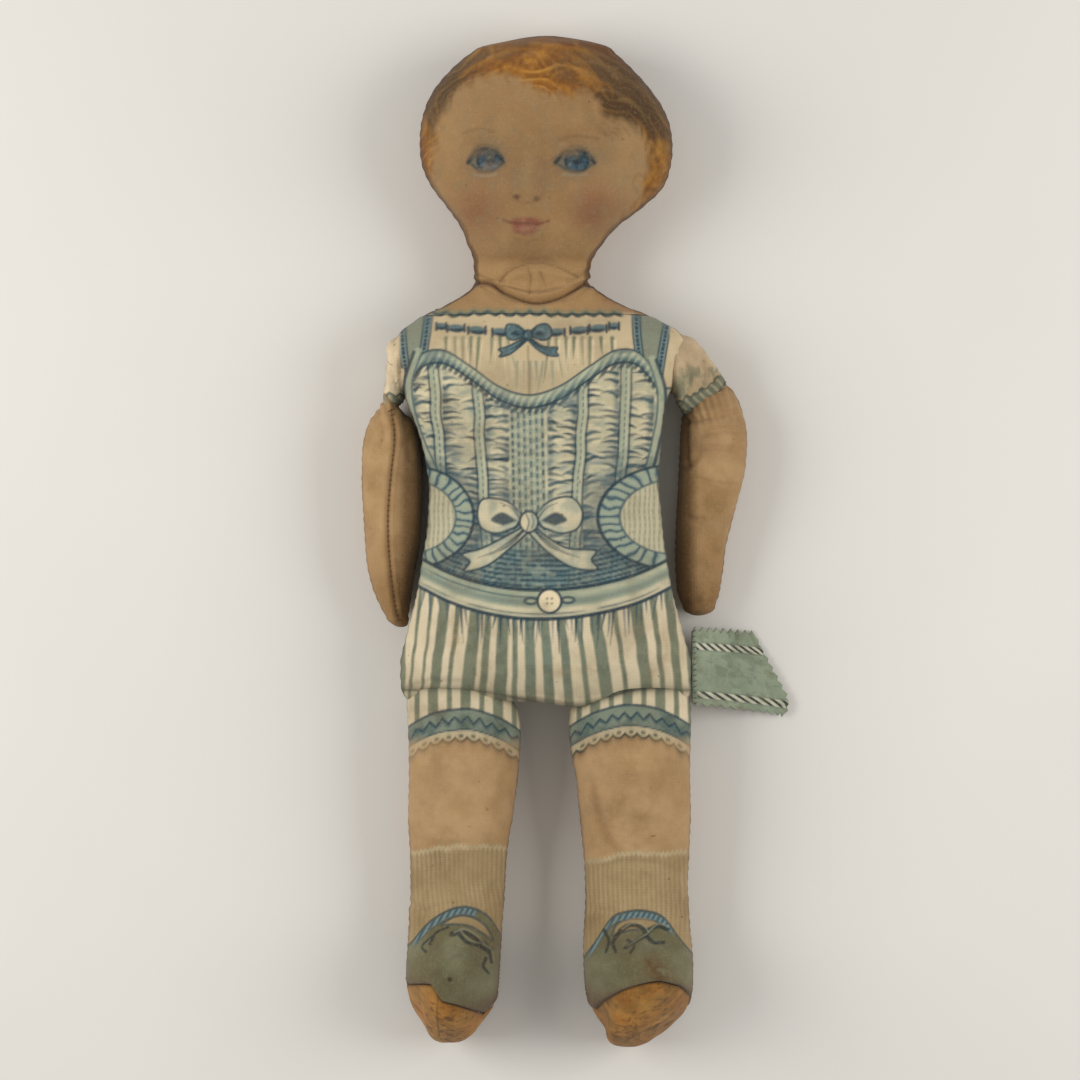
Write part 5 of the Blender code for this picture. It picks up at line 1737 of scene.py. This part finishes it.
def printed_calico(name, thread=0.0009, relief=0.00022, stain="#5f4426", bare="#c9b391", wear=0.13):
    """Plain-woven cotton calico, printed and aged: matt, with a fine thread, painted shade between its threads, foxing
    and rubbed ink.

    The thread is drawn at about twice its real pitch of 0.45 mm, so that it shows.
    """
    material, tree, shader, place = new_material(name)
    tone = node(tree, "Attribute", attribute_name="print").outputs["Color"]
    soil = node(tree, "Attribute", attribute_name="soil").outputs["Fac"]
    # Warp and weft threads, and the height of the cloth between them
    wave = {"Vector": place, "Scale": 2 * pi / (20 * thread), "Distortion": 1.2, "Detail": 1.0, "Detail Scale": 0.4}
    warp, weft = (node(tree, "TexWave", wave, bands_direction=way).outputs["Fac"] for way in "XY")
    weave = node(tree, "Math", {0: warp, 1: weft}, operation="MAXIMUM").outputs[0]
    # Uneven height, clouds of dirt, rubbed ink and specks of foxing
    sway, cloud, rub, fox = (
        node(tree, "TexNoise", {"Vector": place, "Scale": scale, "Detail": detail, "Roughness": rough}).outputs["Fac"]
        for scale, detail, rough in ((160.0, 2.0, 0.5), (34.0, 7.0, 0.66), (520.0, 4.0, 0.7), (260.0, 2.0, 0.5))
    )
    patch, rubbed, foxed = (
        node(tree, "MapRange", {"Value": noise, "From Min": low, "From Max": high, "To Max": most}).outputs["Result"]
        for noise, low, high, most in ((cloud, 0.46, 0.72, 1.0), (rub, 0.5, 0.72, wear), (fox, 0.7, 0.78, 0.55))
    )
    held = node(tree, "Math", {0: patch, 1: soil}, operation="MULTIPLY").outputs[0]
    for share, code in ((held, stain), (rubbed, bare), (foxed, stain)):
        tone = node(tree, "Mix", {SHARE: share, BELOW: tone, LAID: paint_of(code)}, data_type="RGBA").outputs[2]
    # Painted shade between the threads, which are a little darker there, and the whole cloth matt
    shade = node(tree, "MapRange", {"Value": weave, "To Min": 0.9, "To Max": 1.03}).outputs["Result"]
    tone = node(
        tree, "Mix", {SHARE: 1.0, BELOW: tone, LAID: shade}, data_type="RGBA", blend_type="MULTIPLY"
    ).outputs[2]
    fuzz = node(tree, "Math", {0: sway, 1: weave}, operation="ADD").outputs[0]
    bump = node(tree, "Bump", {"Strength": 0.55, "Distance": relief, "Height": fuzz}).outputs["Normal"]
    dull = node(tree, "MapRange", {"Value": cloud, "To Min": 0.82, "To Max": 0.96}).outputs["Result"]
    fill(tree, shader, {
        "Base Color": tone, "Normal": bump, "Roughness": dull, "Metallic": 0, "IOR": 1.47,
        "Specular IOR Level": 0.22, "Sheen Weight": 0.12, "Sheen Roughness": 0.5,
    })
    return material


def cotton_thread(name, code):
    """Twisted cotton sewing thread: matt, with a fine slanting ply every 0.6 mm, and painted shade in the grooves of
    the ply.
    """
    material, tree, shader, place = new_material(name)
    wave = {"Vector": place, "Scale": 2 * pi / (20 * 0.0006), "Distortion": 0.6}
    ply = node(tree, "TexWave", wave, bands_direction="DIAGONAL").outputs["Fac"]
    dirt = node(tree, "TexNoise", {"Vector": place, "Scale": 300.0, "Detail": 3.0}).outputs["Fac"]
    # Painted shade in the grooves of the ply: a darker copy of the thread's colour between its strands
    tone = paint_of(code, 0.45)
    for share, laid in ((ply, code), (dirt, "#5b4328")):
        tone = node(tree, "Mix", {SHARE: share, BELOW: tone, LAID: paint_of(laid)}, data_type="RGBA").outputs[2]
    bump = node(tree, "Bump", {"Strength": 0.5, "Distance": 0.0001, "Height": ply}).outputs["Normal"]
    fill(tree, shader, {"Base Color": tone, "Normal": bump, "Roughness": 0.8, "IOR": 1.47})
    return material


def pale_floor():
    """Plain pale paper under the doll: matt, very slightly uneven."""
    material, tree, shader, place = new_material("pale_paper")
    cloud = node(tree, "TexNoise", {"Vector": place, "Scale": 5.0, "Detail": 3.0}).outputs["Fac"]
    tones = {SHARE: cloud, BELOW: paint_of("#dedad3"), LAID: paint_of("#e4e0d9")}
    paper = node(tree, "Mix", tones, data_type="RGBA").outputs[2]
    fill(tree, shader, {"Base Color": paper, "Roughness": 0.95, "Specular IOR Level": 0.1})
    return material


# The doll, piece by piece. Distances between the points of a skin, first
# along the piece and then across it.
TORSO_POINTS = (0.00078, 0.00082)
HEAD_POINTS = 0.00072
LEG_POINTS = (0.00075, 0.0007)
SLEEVE_POINTS = (0.0006, 0.0006)
ARM_POINTS = (0.00065, 0.00062)

# Each leg: its sections, offset and width, the drawn edge of its sole, and how
# far the rounded end of the foot is puffed out and leans aside
LEGS = {
    "left": (LEG_LEFT_SHARES, LEG_LEFT_OFFSET, LEG_LEFT_WIDTH, SOLE_EDGE_LEFT, 0.0172, -0.008),
    "right": (LEG_RIGHT_SHARES, LEG_RIGHT_OFFSET, LEG_RIGHT_WIDTH, SOLE_EDGE_RIGHT, 0.017, -0.0012),
}
# Each arm: its way out and its armhole, its sleeve, its arm and their seam, and
# how far out from the armhole the sleeve bends
ARMS = {
    "left": (1, ARMHOLE_LEFT, SLEEVE_LEFT_SHARES, SLEEVE_LEFT_SIZE, ARM_LEFT_SHARES, ARM_LEFT_SIZE,
             ARM_LEFT_SEAM, 0.012),
    "right": (-1, ARMHOLE_RIGHT, SLEEVE_RIGHT_SHARES, SLEEVE_RIGHT_SIZE, ARM_RIGHT_SHARES, ARM_RIGHT_SIZE,
              ARM_RIGHT_SEAM, 0.008),
}
# The sections at the foot's end that its sole is cut from
SOLE_SECTIONS = 150
CROWN_LIFT = 0.0024


def dress(piece, material, slot, *nodes):
    """Give a piece its material, and hide the solids of the nodes that it stands for. The slot is not used."""
    piece.data.materials.append(material)
    if nodes:
        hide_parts(*nodes)
    return piece


def stuffed_nodes(name):
    """The three solids of one stuffed piece."""
    return f"{name}_front_cloth", f"{name}_back_cloth", f"{name}_stuffing"


def hip_dip(grid):
    """Lower the front of the torso's end where it shows between the legs."""
    x, y, z = np.moveaxis(grid, 2, 0)
    drop = 0.0046 * bell((x - 0.017) / 0.017) + 0.001 * bell((x + 0.014) / 0.018)
    low = np.clip((TORSO_BOTTOM + 0.034 - y) / 0.034, 0, 1) ** 2
    grid[:, :, 1] -= drop * low * np.clip((z - 0.03) / 0.018, 0, 1)
    return grid


def make_body(calico):
    """The torso, and the head with the skin of its neck and shoulders in one piece."""
    torso = body_rows(TORSO_SHARES, TORSO_LENGTH, TORSO_OFFSET, TORSO_WIDTH, TORSO_DEPTH, TORSO_SEAM)
    torso[:, ACROSS_Y] += TORSO_BOTTOM
    head = body_rows(HEAD_SHARES, HEAD_LENGTH, HEAD_OFFSET, HEAD_WIDTH, HEAD_DEPTH, HEAD_SEAM)
    head = started_at(head, TORSO_TOP + JOINT_GAP)
    whole = even_rows(np.vstack([torso[:-1], (torso[-1:] + head[:1]) / 2, head[1:]]), TORSO_POINTS[0])
    lower = whole[whole[:, 1] < NECK_EDGE + 0.004]
    upper = whole[whole[:, 1] > NECK_EDGE]
    lower = turned_end(turned_end(lower, 0.002, 0.99, 0.12), 0.006, 0.93, 1.0, 14, start=True)
    upper = domed_end(upper, 0.0075)
    crown = np.clip((upper[:, ACROSS_Y] - upper[-1, 1] + 0.01) / 0.01, 0, 1)
    upper[:, ACROSS_Y] += CROWN_LIFT * crown
    skin = stuffed_skin("torso_skin", lower, TORSO_POINTS[1], torso_folds, torso_paint, hip_dip)
    dress(skin, calico, "printed_cloth", *stuffed_nodes("torso"))
    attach(skin, "torso")
    skin = stuffed_skin("head_skin", upper, HEAD_POINTS, head_folds, head_paint)
    dress(skin, calico, "skin_cloth", *stuffed_nodes("head"))
    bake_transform(skin)


def make_leg(side, calico, tan):
    """One leg with its sock and shoe, and the sole sewn into its end."""
    shares, offset, width, edge, bulge, aside = LEGS[side]
    rows = body_rows(shares, -LEG_LENGTH, offset, width, LEG_DEPTH, LEG_SEAM)
    rows = even_rows(started_at(rows, TORSO_BOTTOM - JOINT_GAP), LEG_POINTS[0])
    rows = capped_foot(rows, bulge, aside)
    upper = turned_end(rows, 0.0075, 0.92, 1.0, 14, start=True)
    skin = stuffed_skin(f"{side}_leg_skin", upper, LEG_POINTS[1], leg_folds, leg_paint, cut_foot(edge, False))
    dress(skin, calico, "skin_cloth", *stuffed_nodes(f"{side}_leg"))
    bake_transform(skin)
    foot = rows[-SOLE_SECTIONS:]
    sole = stuffed_skin(f"{side}_sole_skin", foot, LEG_POINTS[1], sole_folds, sole_paint, cut_foot(edge, True))
    dress(sole, tan, "sole_cloth", f"{side}_sole")
    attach(sole, f"{side}_leg")


def make_arm(side, calico, thread):
    """One sleeve sewn to the torso, and the arm gathered in at its hem."""
    way, armhole, sleeve_shares, sleeve_size, arm_shares, arm_size, seam, reach = ARMS[side]
    cap = limb_rows(sleeve_shares, way, armhole, sleeve_size, SLEEVE_SEAM)
    limb = limb_rows(arm_shares, way, armhole, arm_size, seam)
    hem = cap[-1].copy()
    across = half_of(hem) / np.hypot(*half_of(hem))
    down = np.array([across[1], -across[0]])
    hem[0:4] += JOINT_GAP * np.tile(down, 2)
    hem[SEAM] = seam
    sleeve = turned_end(even_rows(cap, SLEEVE_POINTS[0]), 0.0016, 0.985, 0.1, 6)
    sleeve = turned_end(sleeve, 0.0045, 0.95, 0.12, start=True)
    skin = stuffed_skin(f"{side}_sleeve_skin", sleeve, SLEEVE_POINTS[1], sleeve_folds, sleeve_paint)
    dress(skin, calico, "sleeve_cloth", *stuffed_nodes(f"{side}_sleeve"))
    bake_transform(skin)
    arm = even_rows(np.vstack([hem, limb]), ARM_POINTS[0])
    arm = domed_end(turned_end(arm, 0.0045, 0.96, 0.16, start=True), 0.0065, True)
    skin = stuffed_skin(f"{side}_arm_skin", arm, ARM_POINTS[1], arm_folds, arm_paint)
    dress(skin, calico, "skin_cloth", *stuffed_nodes(f"{side}_arm"))
    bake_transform(skin)
    if side == "left":
        path, ways = on_skin("left_sleeve_skin", smooth_line([(686, 411), (700, 405), (714, 396), (726, 382)], 10))
        sewn = stitches("left_hem_stitches", path, ways, 0.0034, 0.0022, 0.0002, 1.6, 17)
        dress(sewn, thread, "sleeve_cloth")
        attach(sewn, "left_sleeve")
    else:
        path, ways = on_skin("right_arm_skin", smooth_line(ARM_RIGHT_STITCHES, 12))
        sewn = stitches("right_arm_stitches", path, ways, 0.003, 0.0036, 0.00022, 0.25, 19)
        dress(sewn, thread, "skin_cloth")
        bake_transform(sewn)


def make_label(cloth, thread):
    """The label at the left hip, and the stitches that hold it in the side seam."""
    label, grid = label_piece("hip_label_cloth")
    dress(label, cloth, "label_cloth", "hip_label")
    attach(label, "label")
    edge = grid[2] + np.array([0.0012, 0, 0.0004])
    ways = np.tile([0.5, 0, 0.86], (len(edge), 1))
    sewn = stitches("label_stitches", edge, ways, 0.003, 0.0022, 0.0002, 0.4, 23)
    dress(sewn, thread, "label_cloth")
    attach(sewn, "torso")
    return label


def make_loose_threads(thread):
    """Frayed ends at the crumpled right sleeve."""
    path, ways = on_skin("right_sleeve_skin", [(394, 346), (393, 366), (396, 384), (401, 398)])
    # How far along the thread and how far out of the cloth each of its places is
    shape = ((0, -0.0004), (0.6, 0.0012), (1.5, 0.0009), (1.9, -0.0003))
    lines = []
    for place, out, turn in zip(path, ways, (0.3, 2.4, 1.1, 2.9)):
        along = np.array([cos(turn), sin(turn), 0]) * 0.0022
        lines.append(smooth_line([place + along * far + out * rise for far, rise in shape], 8))
    sewn = threads("right_sleeve_loose_threads", lines, 0.00012)
    dress(sewn, thread, "sleeve_cloth")
    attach(sewn, "right_sleeve")


# The stage: half the width of the floor, the two soft lights with their places
# and watts, and the camera straight above, which sees a sheet of 1080 squares
FLOOR_REACH = 9
SOFT_BOXES = (("soft_box_left", (-1.25, 0.15, 0.95), 15.0), ("soft_box_right", (1.25, 0.1, 0.95), 12.5))
STUDIO_WHITE = (1.0, 0.99, 0.97, 1)
STUDIO_STRENGTH = 0.42
SHEET_SQUARES = 1080
FILM_WIDTH = 36.0


def make_stage():
    """Plain floor, soft studio light, and the camera straight above."""
    corners = [(FLOOR_REACH * a, FLOOR_REACH * b, 0) for a, b in ((-1, -1), (1, -1), (1, 1), (-1, 1))]
    floor = put_piece("floor", corners, [(0, 1, 2, 3)])
    floor.location.z = -0.0003
    floor.data.materials.append(pale_floor())
    scene = bpy.context.scene
    world = bpy.data.worlds.new("studio")
    world.use_nodes = True
    fill(world.node_tree, world.node_tree.nodes["Background"], {"Color": STUDIO_WHITE, "Strength": STUDIO_STRENGTH})
    scene.world = world
    for name, place, power in SOFT_BOXES:
        light = bpy.data.lights.new(name, "AREA")
        light.shape = "SQUARE"
        light.size = 1.0
        light.energy = power
        lamp = bpy.data.objects.new(name, light)
        lamp.location = place
        lamp.rotation_euler = (Vector((0, 0, 0.03)) - Vector(place)).to_track_quat("-Z", "Y").to_euler()
        lamp.visible_camera = False
        scene.collection.objects.link(lamp)
    camera = bpy.data.cameras.new("camera")
    camera.sensor_width = FILM_WIDTH
    camera.lens = FILM_WIDTH * VIEW_DISTANCE / (SHEET_SQUARES * SQUARE)
    camera.clip_end = 20
    eye = bpy.data.objects.new("camera", camera)
    eye.location = (MIDDLE_X, MIDDLE_Y, PRINT_HEIGHT + VIEW_DISTANCE)
    scene.collection.objects.link(eye)
    scene.camera = eye
    scene.view_settings.view_transform = "Standard"


calico = printed_calico("printed_calico")
tan_cloth = printed_calico("tan_sole_calico", 0.0011, 0.0003, "#3f2c18", "#b98d50", 0.2)
label_cloth = printed_calico("green_label_cloth", 0.0009, 0.00025, "#5d5738", "#b4b69c", 0.3)
dark_thread = cotton_thread("dark_cotton_thread", "#5a4631")
make_body(calico)
for side in ("left", "right"):
    make_leg(side, calico, tan_cloth)
for side in ("left", "right"):
    make_arm(side, calico, dark_thread)
label = make_label(label_cloth, dark_thread)
make_loose_threads(dark_thread)
make_stage()
